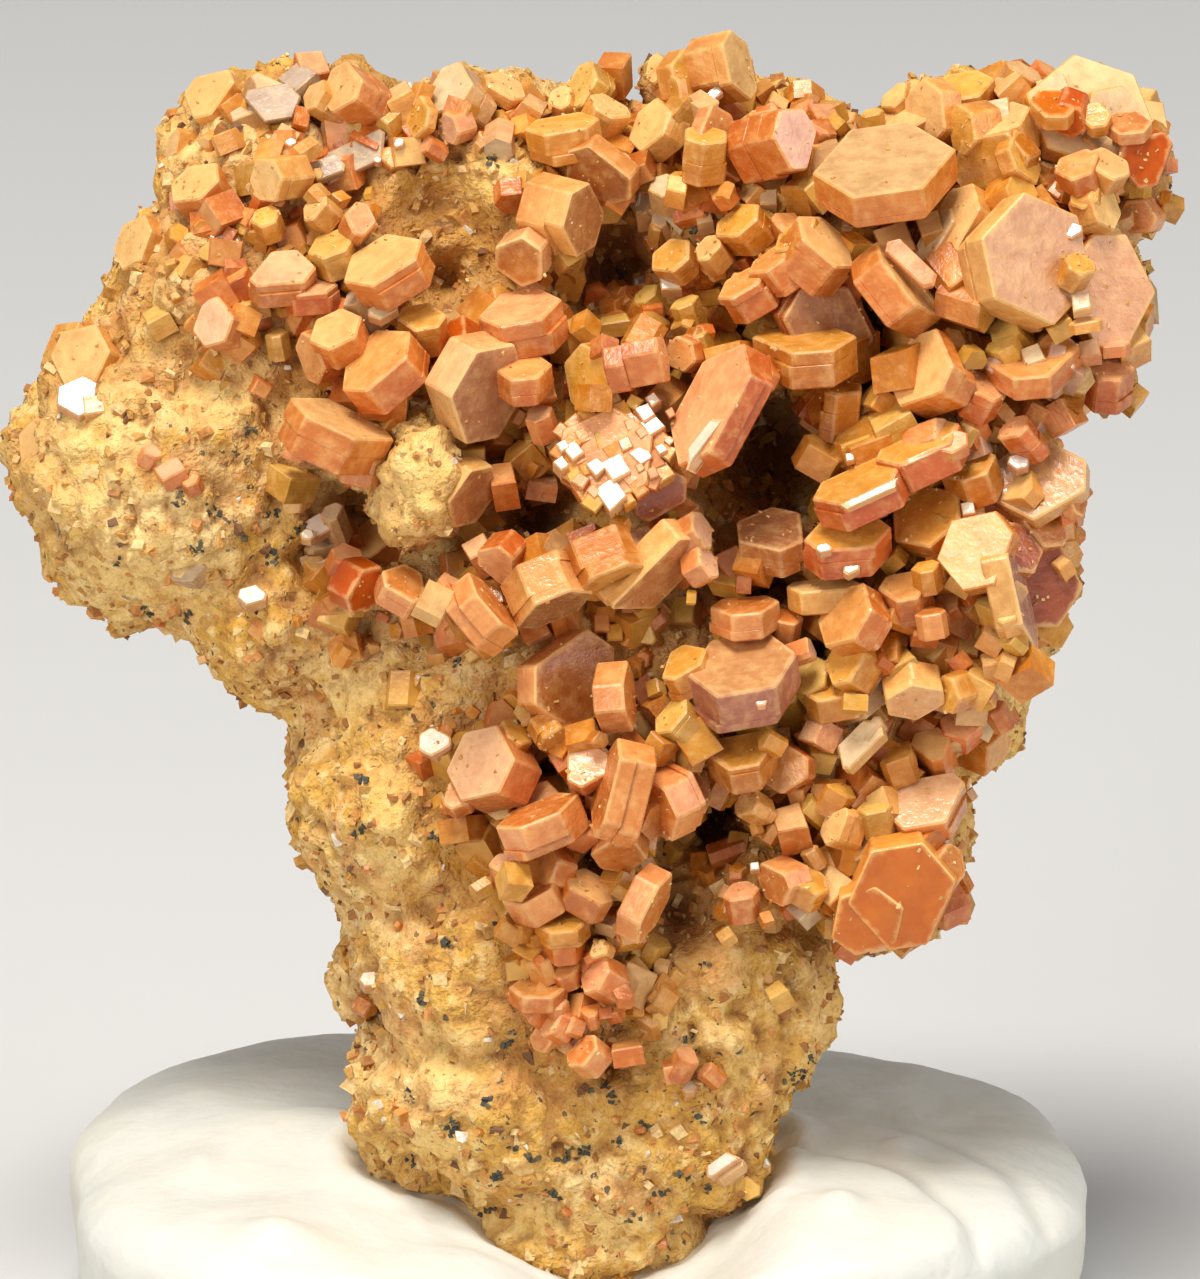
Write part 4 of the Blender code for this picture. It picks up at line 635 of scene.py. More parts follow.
class Effects:
    """The node groups that several finishes share. Each gives one mask, from 0 to 1."""

    def __init__(self) -> None:
        """Builds each group once."""
        self.grain = self.build_grain()
        self.seams = self.build_seams()
        self.worn = self.build_worn_edges()

    def mottle(self, nodes: Nodes, size: float, contrast: float) -> bpy.types.NodeSocket:
        """Places the cloudy mottling in a material, with clouds of a size in millimetres."""
        return nodes.group(self.grain, Size=size, Contrast=contrast)

    @staticmethod
    def start(name: str, **inputs: float) -> tuple[Nodes, dict[str, bpy.types.NodeSocket]]:
        """Opens a group.

        Args:
            name: The group's name.
            inputs: The usual value of each number that it takes in, by name.

        Returns:
            The group's nodes, and what it takes in by name.
        """
        tree = bpy.data.node_groups.new(name, "ShaderNodeTree")
        for label, usual in inputs.items():
            made = tree.interface.new_socket(name=label, in_out="INPUT", socket_type="NodeSocketFloat")
            made.default_value = usual
        tree.interface.new_socket(name="Mask", in_out="OUTPUT", socket_type="NodeSocketFloat")
        nodes = Nodes(tree)
        given = nodes.add("NodeGroupInput").outputs
        return nodes, {label: given[label] for label in inputs}

    @staticmethod
    def finish(nodes: Nodes, kind: str, inputs: dict, **settings: object) -> bpy.types.NodeTree:
        """Closes a group with the node that gives its mask."""
        nodes.add("NodeGroupOutput", {"Mask": nodes.add(kind, inputs, **settings).outputs[0]})
        return nodes.tree

    @staticmethod
    def place(nodes: Nodes, size: bpy.types.NodeSocket) -> bpy.types.NodeSocket:
        """The point on the object, measured in steps of size millimetres."""
        where = nodes.add("ShaderNodeTexCoord").outputs["Object"]
        steps = nodes.math("DIVIDE", 1.0 / MM, size)
        return nodes.add("ShaderNodeVectorMath", {0: where, "Scale": steps}, operation="SCALE").outputs[0]

    def cloud(self, nodes: Nodes, size: bpy.types.NodeSocket, contrast: object,
              **inputs: float) -> bpy.types.NodeSocket:
        """Noise that swings to either side of 0, given the noise node's other inputs."""
        inputs = {"Vector": self.place(nodes, size), "Scale": 1.0, **inputs}
        level = nodes.math("SUBTRACT", nodes.add("ShaderNodeTexNoise", inputs).outputs[0], 0.5)
        return nodes.math("MULTIPLY", level, contrast)

    def build_grain(self) -> bpy.types.NodeTree:
        """Cloudy mottling."""
        nodes, given = self.start("mineral_grain", Size=1.0, Contrast=1.0)
        swing = self.cloud(nodes, given["Size"], given["Contrast"], Detail=3.0, Roughness=0.6)
        return self.finish(nodes, "ShaderNodeClamp", {0: nodes.math("ADD", swing, 0.5)})

    def build_seams(self) -> bpy.types.NodeTree:
        """The seams between separate grains."""
        nodes, given = self.start("crumb_cells", Size=0.4, Seam=0.12)
        place = self.place(nodes, given["Size"])
        waver = nodes.add("ShaderNodeTexNoise", {"Vector": place, "Scale": 1.7, "Detail": 1.0})
        bent = nodes.add("ShaderNodeVectorMath", {0: waver.outputs["Color"], "Scale": 0.5}, operation="SCALE")
        place = nodes.add("ShaderNodeVectorMath", {0: place, 1: bent.outputs[0]}, operation="ADD").outputs[0]
        edge = nodes.add("ShaderNodeTexVoronoi", {"Vector": place, "Scale": 1.0}, feature="DISTANCE_TO_EDGE")
        return self.finish(nodes, "ShaderNodeMapRange", {0: edge.outputs["Distance"], 1: given["Seam"], 2: 0.0})

    def build_worn_edges(self) -> bpy.types.NodeTree:
        """Breaks up the even band that a mesh marks along its edges, where the crystals are lightened partly as dust
        and partly as painted highlight on the bevels.
        """
        nodes, given = self.start("worn_edges", Wear=0.0, Size=0.3, Reach=0.5)
        swing = self.cloud(nodes, given["Size"], 1.6, Detail=2.0)
        worn = nodes.math("ADD", given["Wear"], nodes.math("ADD", swing, given["Reach"]))
        return self.finish(nodes, "ShaderNodeMapRange", {0: worn, 1: 0.8, 2: 1.6}, interpolation_type="SMOOTHSTEP")


def start_material(name: str, roughness: float, ior: float) -> tuple[bpy.types.Material, Nodes, bpy.types.Node]:
    """Opens a material with one Principled shader.

    Args:
        name: The material's name.
        roughness: Its usual roughness.
        ior: Its index of refraction.

    Returns:
        The material, its nodes and its shader.
    """
    made = bpy.data.materials.new(name)
    made.use_nodes = True
    shader = made.node_tree.nodes["Principled BSDF"]
    nodes = Nodes(made.node_tree)
    nodes.feed(shader, {"Roughness": roughness, "IOR": ior})
    return made, nodes, shader


@dataclass(frozen=True)
class CrystalFinish:
    """Resinous crystal: mottled, faintly lined along its sides, with light edges painted partly as dust and partly as
    highlight, and painted shade towards each crystal's foot.
    """

    name: str
    # The dust colour: real dust on the faces, and on the edges partly a painted highlight.
    dust: Colour = (0.90, 0.58, 0.22)
    dust_and_edge_highlight_reach: float = 0.42
    dust_and_edge_highlight_share: float = 0.34
    # The colour that the crystals are multiplied by towards their foot: painted shade between the crystals, warmed to
    # stand in for light glowing through them.
    depths: Colour = (0.78, 0.58, 0.42)
    shade: float = 0.74
    roughness: float = 0.34
    ior: float = 1.55
    lines: float = 0.5

    def build(self, effects: Effects) -> bpy.types.Material:
        """Makes the material."""
        made, nodes, shader = start_material(self.name, self.roughness, self.ior)
        tint, rise, polish = nodes.attribute("tint", "Color"), nodes.attribute("rise"), nodes.attribute("polish")
        fine, mottle = effects.mottle(nodes, 0.22, 2.0), effects.mottle(nodes, 0.5, 2.6)
        lines = nodes.add("ShaderNodeTexNoise", {"W": rise, "Scale": 9.0, "Detail": 2.0},
                          noise_dimensions="1D").outputs[0]
        dark = nodes.mix(1.0, tint, (self.shade, self.shade * 0.9, self.shade * 0.82), "MULTIPLY")
        body = nodes.mix(effects.mottle(nodes, 1.6, 2.2), dark, tint)
        body = nodes.mix(nodes.span(lines, 0.45, 0.7, 0.0, 0.3), body, dark)
        # Painted shade: each crystal darkens towards its foot, where it stands in its neighbours' shade; random
        # mottled patches take the same darker colour.
        deep = nodes.mix(1.0, body, self.depths, "MULTIPLY")
        clean = nodes.span(polish, 0.9, 1.0, 1.0, 0.12)
        # Painted highlight and dust: the crystals' edges and bevels are lightened towards the dust colour.
        dust_and_edge_highlight = nodes.group(effects.worn, Wear=nodes.attribute("dust_and_edge_highlight_mask"), Size=0.35, Reach=self.dust_and_edge_highlight_reach)
        colour = nodes.layered(body, (
            (nodes.span(rise, 0.35, -0.8, 0.0, 0.75), deep),
            (nodes.math("MULTIPLY", nodes.span(mottle, 0.45, 0.95, 0.0, 0.4), clean), nodes.mix(0.5, tint, self.dust)),
            (nodes.span(mottle, 0.45, 0.1, 0.0, 0.3), deep),
            (nodes.math("MULTIPLY", nodes.span(fine, 0.6, 1.0, 0.0, 0.16), clean), self.dust),
            (nodes.math("MULTIPLY", dust_and_edge_highlight, self.dust_and_edge_highlight_share), self.dust),
        ))
        rough = nodes.math("ADD", nodes.span(fine, 0.2, 0.8, -0.06, 0.1), nodes.math("MULTIPLY", dust_and_edge_highlight, 0.2))
        rough = nodes.math("ADD", rough, self.roughness)
        rough = nodes.math("SUBTRACT", rough, nodes.math("MULTIPLY", polish, 0.22))
        normal = nodes.bumps((lines, 0.35 * self.lines, 0.05), (mottle, 0.3, 0.06), (fine, 0.4, 0.03))
        nodes.feed(shader, {"Base Color": colour, "Roughness": rough, "Normal": normal})
        return made


@dataclass(frozen=True)
class RockFinish:
    """Crumbly ochre rock with brown seams, cream painted on its raised tops as highlight, and brown painted into its
    low spots and pits as shade.
    """

    name: str = "ochre_matrix"
    ochre: Colour = (0.70, 0.39, 0.075)
    cream: Colour = (0.92, 0.68, 0.31)
    gold: Colour = (0.60, 0.30, 0.022)
    orange: Colour = (0.68, 0.29, 0.07)
    warm: Colour = (0.44, 0.185, 0.04)
    bleached: Colour = (0.85, 0.57, 0.195)
    rust: Colour = (0.40, 0.17, 0.04)
    # Dark brown: painted shade in the pits and in the lowest spots of the relief.
    brown: Colour = (0.26, 0.10, 0.03)
    black: Colour = (0.045, 0.045, 0.04)
    roughness: float = 0.82
    ior: float = 1.45

    def build(self, effects: Effects) -> bpy.types.Material:
        """Makes the material."""
        made, nodes, shader = start_material(self.name, self.roughness, self.ior)
        relief = nodes.attribute("relief")
        small, fine = effects.mottle(nodes, 0.6, 2.8), effects.mottle(nodes, 0.24, 2.6)
        seams = nodes.group(effects.seams, Size=0.75, Seam=0.08)
        pale = nodes.math("MULTIPLY", nodes.attribute("pale"), nodes.span(small, 0.2, 0.7, 0.35, 0.9))
        base = nodes.layered(self.ochre, (
            (nodes.span(effects.mottle(nodes, 4.2, 3.4), 0.3, 0.85, 0.0, 0.75), self.cream),
            (nodes.span(effects.mottle(nodes, 2.1, 3.6), 0.62, 0.95, 0.0, 0.7), self.orange),
            (nodes.span(effects.mottle(nodes, 1.1, 3.2), 0.55, 0.95, 0.0, 0.75), self.gold),
            (nodes.span(small, 0.62, 0.95, 0.0, 0.6), self.cream),
            (nodes.span(small, 0.36, 0.08, 0.0, 0.65), self.rust),
            (nodes.math("MULTIPLY", seams, 0.25), self.rust),
            # Painted shade and highlight: the low spots of the crumbly relief darken to rust and, lowest, to dark
            # brown, and its raised tops lighten to cream.
            (nodes.span(relief, 0.42, 0.08, 0.0, 0.85), self.rust),
            (nodes.span(relief, 0.2, 0.0, 0.0, 0.8), self.brown),
            (nodes.span(relief, 0.62, 0.95, 0.0, 0.55), self.cream),
            (nodes.span(fine, 0.6, 0.95, 0.0, 0.35), self.rust),
            (nodes.span(effects.mottle(nodes, 0.42, 3.0), 0.985, 1.0, 0.0, 0.85), self.black),
            (nodes.math("MULTIPLY", nodes.attribute("warmth"), 0.62), self.warm),
            (pale, self.bleached),
            # Painted shade: the pits are painted dark brown.
            (nodes.attribute("hollow"), self.brown),
        ))
        nodes.feed(shader, {"Base Color": base, "Roughness": nodes.span(fine, 0.2, 0.9, 0.7, 0.95),
                            "Normal": nodes.bumps((small, 0.6, 0.22), (seams, -0.3, 0.1), (fine, 0.6, 0.09))})
        return made


@dataclass(frozen=True)
class CrumbFinish:
    """Loose crumbs that take their colour from the mesh."""

    name: str
    shade: Colour = (0.62, 0.52, 0.42)
    roughness: float = 0.7
    ior: float = 1.5

    def build(self, effects: Effects) -> bpy.types.Material:
        """Makes the material."""
        made, nodes, shader = start_material(self.name, self.roughness, self.ior)
        tint = nodes.attribute("tint", "Color")
        fine = effects.mottle(nodes, 0.18, 2.4)
        dark = nodes.mix(1.0, tint, self.shade, "MULTIPLY")
        rough = nodes.span(fine, 0.2, 0.8, self.roughness - 0.12, self.roughness + 0.12)
        nodes.feed(shader, {"Base Color": nodes.mix(fine, dark, tint), "Roughness": rough,
                            "Normal": nodes.bumps((fine, 0.5, 0.05))})
        return made


@dataclass(frozen=True)
class TackFinish:
    """Kneaded warm white putty: smooth, a little satin, with faint grey smears."""

    name: str = "white_mineral_tack"
    white: Colour = (0.66, 0.655, 0.585)
    warm: Colour = (0.66, 0.615, 0.505)
    grey: Colour = (0.62, 0.60, 0.55)
    soil: Colour = (0.55, 0.42, 0.24)
    roughness: float = 0.5
    ior: float = 1.45

    def build(self, effects: Effects) -> bpy.types.Material:
        """Makes the material."""
        made, nodes, shader = start_material(self.name, self.roughness, self.ior)
        smear, fine = effects.mottle(nodes, 1.8, 2.6), effects.mottle(nodes, 0.35, 2.0)
        base = nodes.layered(self.white, (
            (nodes.span(effects.mottle(nodes, 6.0, 2.4), 0.4, 0.9, 0.0, 0.6), self.warm),
            (nodes.span(smear, 0.65, 1.0, 0.0, 0.3), self.grey),
            (nodes.span(fine, 0.7, 1.0, 0.0, 0.12), self.grey),
            (nodes.math("MULTIPLY", nodes.attribute("soil"), 0.7), self.soil),
        ))
        nodes.feed(shader, {"Base Color": base, "Roughness": nodes.span(smear, 0.2, 0.9, 0.42, 0.62),
                            "Normal": nodes.bumps((smear, 0.18, 0.3), (fine, 0.12, 0.06))})
        return made


@dataclass(frozen=True)
class FloorFinish:
    """A plain pale studio floor."""

    name: str = "pale_floor"
    colour: Colour = (0.62, 0.61, 0.59)
    roughness: float = 0.6
    ior: float = 1.45

    def build(self, effects: Effects) -> bpy.types.Material:
        """Makes the material."""
        made, nodes, shader = start_material(self.name, self.roughness, self.ior)
        low = tuple(value * 0.96 for value in self.colour)
        nodes.feed(shader, {"Base Color": nodes.mix(effects.mottle(nodes, 60.0, 1.0), low, self.colour)})
        return made


def mark(mesh: bpy.types.Mesh, label: str, domain: str, values: Sequence[float]) -> None:
    """Gives a mesh a number for each of its points or corners."""
    mesh.attributes.new(label, "FLOAT", domain).data.foreach_set("value", np.asarray(values, np.float32))


class Ring(NamedTuple):
    """A closed loop of a skin's points: their numbers, the edge mark of each, which the crystals' finish lightens
    partly as dust and partly as painted highlight, and the level that they lie at.
    """

    points: Sequence[int]
    dust_and_highlight_marks: Sequence[float]
    level: float


class Skin:
    """Gathers the points and faces of one piece, with the tint and the edge mark of each face's corners, which the
    crystals' finish lightens partly as dust and partly as painted highlight.
    """

    def __init__(self) -> None:
        """Starts empty."""
        self.points: list[Vector] = []
        self.faces: list[tuple[int, ...]] = []
        self.tints: list[Colour] = []
        self.dust_and_highlight_marks: list[tuple[float, ...]] = []
        self.rises: list[tuple[float, ...]] = []
        self.polishes: list[float] = []
        self.polish = 0.0

    def add_points(self, points: Iterable[Vector]) -> list[int]:
        """Adds points and gives their numbers."""
        first = len(self.points)
        self.points.extend(points)
        return list(range(first, len(self.points)))

    def add_face(self, corners: Sequence[int], tint: Colour, dust_and_highlight_marks: Sequence[float],
                 rises: Sequence[float]) -> None:
        """Adds a face with one tint, and an edge mark and a rise for each corner."""
        self.faces.append(tuple(corners))
        self.tints.append(tint)
        self.dust_and_highlight_marks.append(tuple(dust_and_highlight_marks))
        self.rises.append(tuple(rises))
        self.polishes.append(self.polish)

    def add_band(self, low: Ring, high: Ring, tints: Sequence[Colour]) -> None:
        """Joins two rings with a band of faces, sharing the tints out evenly along it."""
        count = len(low.points)
        for start in range(count):
            end = (start + 1) % count
            self.add_face((low.points[start], low.points[end], high.points[end], high.points[start]),
                          tints[start * len(tints) // count],
                          (low.dust_and_highlight_marks[start], low.dust_and_highlight_marks[end], high.dust_and_highlight_marks[end], high.dust_and_highlight_marks[start]),
                          (low.level, low.level, high.level, high.level))

    def build(self, name: str, finish: bpy.types.Material, slot: str) -> bpy.types.Object:
        """Makes the object, carried from the display face to the part's frame.

        Args:
            name: The piece's name.
            finish: Its material.
            slot: The record's material slot that it stands for.

        Returns:
            The object, riding on the specimen's body.
        """
        mesh = bpy.data.meshes.new(name)
        mesh.from_pydata([tuple(point) for point in self.points], [], self.faces)
        mesh.transform(FACE)
        counts = [len(face) for face in self.faces]
        tints = np.repeat(np.array([(*tint, 1.0) for tint in self.tints], np.float32), counts, axis=0)
        tint = mesh.attributes.new("tint", "FLOAT_COLOR", "CORNER")
        tint.data.foreach_set("color", tints.ravel())
        for label, values in (("dust_and_edge_highlight_mask", self.dust_and_highlight_marks), ("rise", self.rises)):
            mark(mesh, label, "CORNER", [value for corner in values for value in corner])
        mark(mesh, "polish", "CORNER", np.repeat(self.polishes, counts))
        mesh.materials.append(finish)
        mesh.update()
        return attach(bpy.data.objects.new(name, mesh), slot)


def attach(piece: bpy.types.Object, slot: str) -> bpy.types.Object:
    """Puts a piece in the scene, riding on the specimen's body.

    Args:
        piece: The new object, already in the part's frame.
        slot: The record's material slot; not used.

    Returns:
        The same object.
    """
    bpy.context.scene.collection.objects.link(piece)
    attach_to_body(piece, BODY)
    return piece


def away(u: float, v: float, patch: Sequence[float]) -> float:
    """How far out a point lies in an elliptical patch, squared: 0 at its middle and 1 on its rim.

    Args:
        u: The point's place across.
        v: The point's place up.
        patch: The patch's middle, across and up, then its half sizes; anything more is left aside.

    Returns:
        The squared share of the way to the rim.
    """
    middle_u, middle_v, half_u, half_v = patch[:4]
    return ((u - middle_u) / half_u) ** 2 + ((v - middle_v) / half_v) ** 2


def scattered(rng: random.Random, reach: float) -> Vector:
    """A random step, of at most reach along each axis."""
    return Vector([rng.uniform(-reach, reach) for _ in range(3)])


def any_way(rng: random.Random) -> Vector:
    """A random direction."""
    return Vector([rng.gauss(0, 1) for _ in range(3)]).normalized()


def cut_away(bm: bmesh.types.BMesh, point: Sequence[float], outward: Sequence[float]) -> list[bmesh.types.BMEdge]:
    """Cuts away all that lies beyond a plane, and gives the edges round the cut."""
    cut = bmesh.ops.bisect_plane(bm, geom=bm.verts[:] + bm.edges[:] + bm.faces[:], plane_co=point, plane_no=outward,
                                 clear_outer=True)
    return [item for item in cut["geom_cut"] if isinstance(item, bmesh.types.BMEdge)]


def varied(colour: Colour, rng: random.Random, swing: float) -> Colour:
    """A colour made a little lighter or darker, and a little warmer or cooler."""
    light = 1.0 + rng.uniform(-swing, swing)
    warm = 1.0 + rng.uniform(-swing, swing) * 0.35
    return (min(colour[0] * light, 1.0), min(colour[1] * light * warm, 1.0), min(colour[2] * light / warm, 1.0))


@dataclass
class TabletShaper:
    """Shapes a crystal as a bevelled hexagonal tablet that has grown in layers.

    Lengths are in millimetres. Each side stands between shortest and longest times the regular hexagon's distance
    from the middle, and small_sides says the same for small crystals.
    """

    bevel: float = 0.055
    rim: float = 0.2
    groove: float = 0.014
    step: float = 0.07
    shortest: float = 0.76
    longest: float = 1.07
    layer_height: float = 0.55
    thinnest: float = 0.12
    small_sides: tuple[float, float] = (0.64, 1.12)
    small_polish: float = 0.6
    blocky_share: float = 0.5
    seed: int = 7
    rng: random.Random = field(init=False)

    def __post_init__(self) -> None:
        """Starts the random draws."""
        self.rng = random.Random(self.seed)

    @staticmethod
    def corners(radii: Sequence[float]) -> list[Vector]:
        """Where the six sides meet, from the distance of each side from the middle."""
        found = []
        for side in range(6):
            angle = math.radians(60.0 * side)
            across = Vector((math.cos(angle), math.sin(angle)))
            along = Vector((-across.y, across.x))
            shift = (radii[(side + 1) % 6] - radii[side] * 0.5) / math.sin(math.radians(60.0))
            found.append(across * radii[side] + along * shift)
        return found

    def outline(self, radii: Sequence[float], inset: float) -> list[Vector]:
        """The hexagon, drawn in from its sides, with four points on each side: its two blunted corners and the
        inner edge of the rim beside each."""
        corners = self.corners([max(radius - inset, 0.02) for radius in radii])
        found = []
        for side in range(6):
            start, end = corners[side - 1], corners[side]
            length = (end - start).length
            blunt = min(self.bevel, 0.2 * length)
            inner = min(self.bevel + self.rim, 0.4 * length)
            along = (end - start) / max(length, 1e-6)
            found += [start + along * blunt, start + along * inner, end - along * inner, end - along * blunt]
        return found

    def sides(self, crystal: Crystal, shortest: float, longest: float) -> list[float]:
        """The distance of each side from the middle, drawn at random between two shares of the usual one."""
        radii = [crystal.radius() * self.rng.uniform(shortest, longest) for _ in range(6)]
        for side in (1, 2, 4, 5):
            radii[side] *= crystal.stretch
        return radii

    def layers(self, crystal: Crystal) -> list[tuple[float, float, list[float]]]:
        """The layers that the tablet has grown in: lowest and highest level, and the distance of each side."""
        rng = self.rng
        radii = self.sides(crystal, self.shortest, self.longest)
        count = max(1, min(4, round(crystal.thick / self.layer_height * rng.uniform(0.6, 1.2))))
        cuts = sorted(rng.uniform(0.2, 0.8) for _ in range(count - 1))
        levels = [-crystal.thick / 2] + [(cut - 0.5) * crystal.thick for cut in cuts] + [crystal.thick / 2]
        made = []
        for low, high in zip(levels, levels[1:]):
            if high - low < self.thinnest:
                continue
            shrunk = [value - rng.choice((0.0, 0.0, 1.0)) * rng.uniform(0.2, 1.6) * self.step *
                      min(crystal.across, 3.0) / 2 for value in radii]
            made.append([low, high, shrunk])
        made = made or [[levels[0], levels[-1], radii]]
        made[0][0], made[-1][1] = levels[0], levels[-1]
        for lower, upper in zip(made, made[1:]):
            upper[0] = lower[1]
        return [tuple(layer) for layer in made]

    def grow(self, crystal: Crystal, skin: Skin) -> None:
        """Adds one crystal to a piece."""
        place = crystal.axes()
        rng = self.rng
        skin.polish = 1.0 if crystal.tone in CLEAR_TONES else rng.random() ** 3
        face = varied(crystal.tone.face, rng, 0.09)
        sides = [varied(crystal.tone.side, rng, 0.12) for _ in range(6)]
        rings: list[tuple[float, Sequence[float], float, float]] = []
        stack = self.layers(crystal)
        for number, (low, high, radii) in enumerate(stack):
            last = number == len(stack) - 1
            edge, top_wear = (self.bevel, 1.0) if last else (self.groove, 0.25)
            foot = self.bevel if number == 0 else self.groove
            band = min(self.rim * 0.7, 0.3 * (high - low - edge - foot))
            if number == 0:
                rings.append((low, radii, foot + self.rim, 0.0))
            rings += [(low, radii, foot, 0.1), (low + foot, radii, 0.0, 0.1),
                      (low + foot + band, radii, 0.0, 0.0), (high - edge - band, radii, 0.0, 0.0),
                      (high - edge, radii, 0.0, top_wear), (high, radii, edge, top_wear)]
        top, radii = stack[-1][1], stack[-1][2]
        sides_end = len(rings) - 1
        rings.append((top, radii, self.bevel + min(self.rim, 0.3 * min(radii)), 0.1))
        self.skin_rings(rings, sides_end, place, skin, face, sides)

    def skin_rings(self, rings: Sequence[tuple[float, Sequence[float], float, float]], sides_end: int,
                   place: Matrix, skin: Skin, face: Colour, sides: Sequence[Colour]) -> None:
        """Joins rings of points into a closed skin.

        Args:
            rings: Level, side distances, inset and edge mark of each ring, from the bottom up.
            sides_end: The number of the ring where the sides end and the top face begins.
            place: Carries the tablet to its place.
            skin: The piece that the faces go to.
            face: The tint of the flat faces.
            sides: The tint of each side.
        """
        # Corners and top edges are marked for the crystals' finish to lighten, partly as dust and partly as painted
        # highlight.
        pattern = (0.7, 0.0, 0.0, 0.7) * 6
        loops: list[Ring] = []
        for number, (level, radii, inset, worn) in enumerate(rings):
            points = skin.add_points(place @ Vector((*point, level)) for point in self.outline(radii, inset))
            dust_and_highlight_marks = [max(worn, edge if 0 < number <= sides_end else 0.0) for edge in pattern]
            loops.append(Ring(points, dust_and_highlight_marks, level))
        for number, (low, high) in enumerate(zip(loops, loops[1:])):
            skin.add_band(low, high, (face,) if number == 0 or number >= sides_end else sides)
        for loop, step in ((loops[0], -1), (loops[-1], 1)):
            middle = skin.add_points([place @ Vector((0.0, 0.0, loop.level))])[0]
            for start, end in zip(loop.points, loop.points[1:] + loop.points[:1]):
                skin.add_face((*(start, end)[::step], middle), face, (0.0,) * 3, (loop.level,) * 3)

    def small_outline(self, crystal: Crystal, blocky: bool) -> list[Vector]:
        """The outline of a small crystal: six uneven sides, or four where its neighbours have cut it short."""
        radius, rng = crystal.radius(), self.rng
        if blocky:
            return [Vector((x * radius * rng.uniform(0.8, 1.05), y * radius * rng.uniform(0.7, 0.95)))
                    for x, y in ((-1, -1), (1, -1), (1, 1), (-1, 1))]
        return self.corners(self.sides(crystal, *self.small_sides))

    def grow_small(self, crystal: Crystal, skin: Skin, blocky: Optional[bool] = None) -> None:
        """Adds a crystal too small to show more than its form and bevel.

        Args:
            crystal: The crystal.
            skin: The piece that it goes to.
            blocky: Whether it has four sides; by chance where not given.
        """
        place = crystal.axes()
        rng = self.rng
        if blocky is None:
            blocky = crystal.stretch == 1.0 and rng.random() < self.blocky_share
        skin.polish = 1.0 if crystal.tone in CLEAR_TONES else rng.random() ** 3 * self.small_polish
        face, side = varied(crystal.tone.face, rng, 0.12), varied(crystal.tone.side, rng, 0.14)
        outline = self.small_outline(crystal, blocky)
        half, bevel = crystal.thick / 2, min(0.05, 0.1 * crystal.across)
        drawn_in = 1.0 - 2.2 * bevel / crystal.across
        loops = [skin.add_points(place @ Vector((corner.x * share, corner.y * share, level)) for corner in outline)
                 for level, share in ((-half, 1.0), (half - bevel, 1.0), (half, drawn_in))]
        count = len(outline)
        for low, high, worn in ((loops[0], loops[1], 0.1), (loops[1], loops[2], 0.7)):
            skin.add_band(Ring(low, (worn,) * count, -half), Ring(high, (worn,) * count, half), (side,))
        skin.add_face(loops[2], face, (0.2,) * count, (half,) * count)
        skin.add_face(loops[0][::-1], side, (0.0,) * count, (-half,) * count)


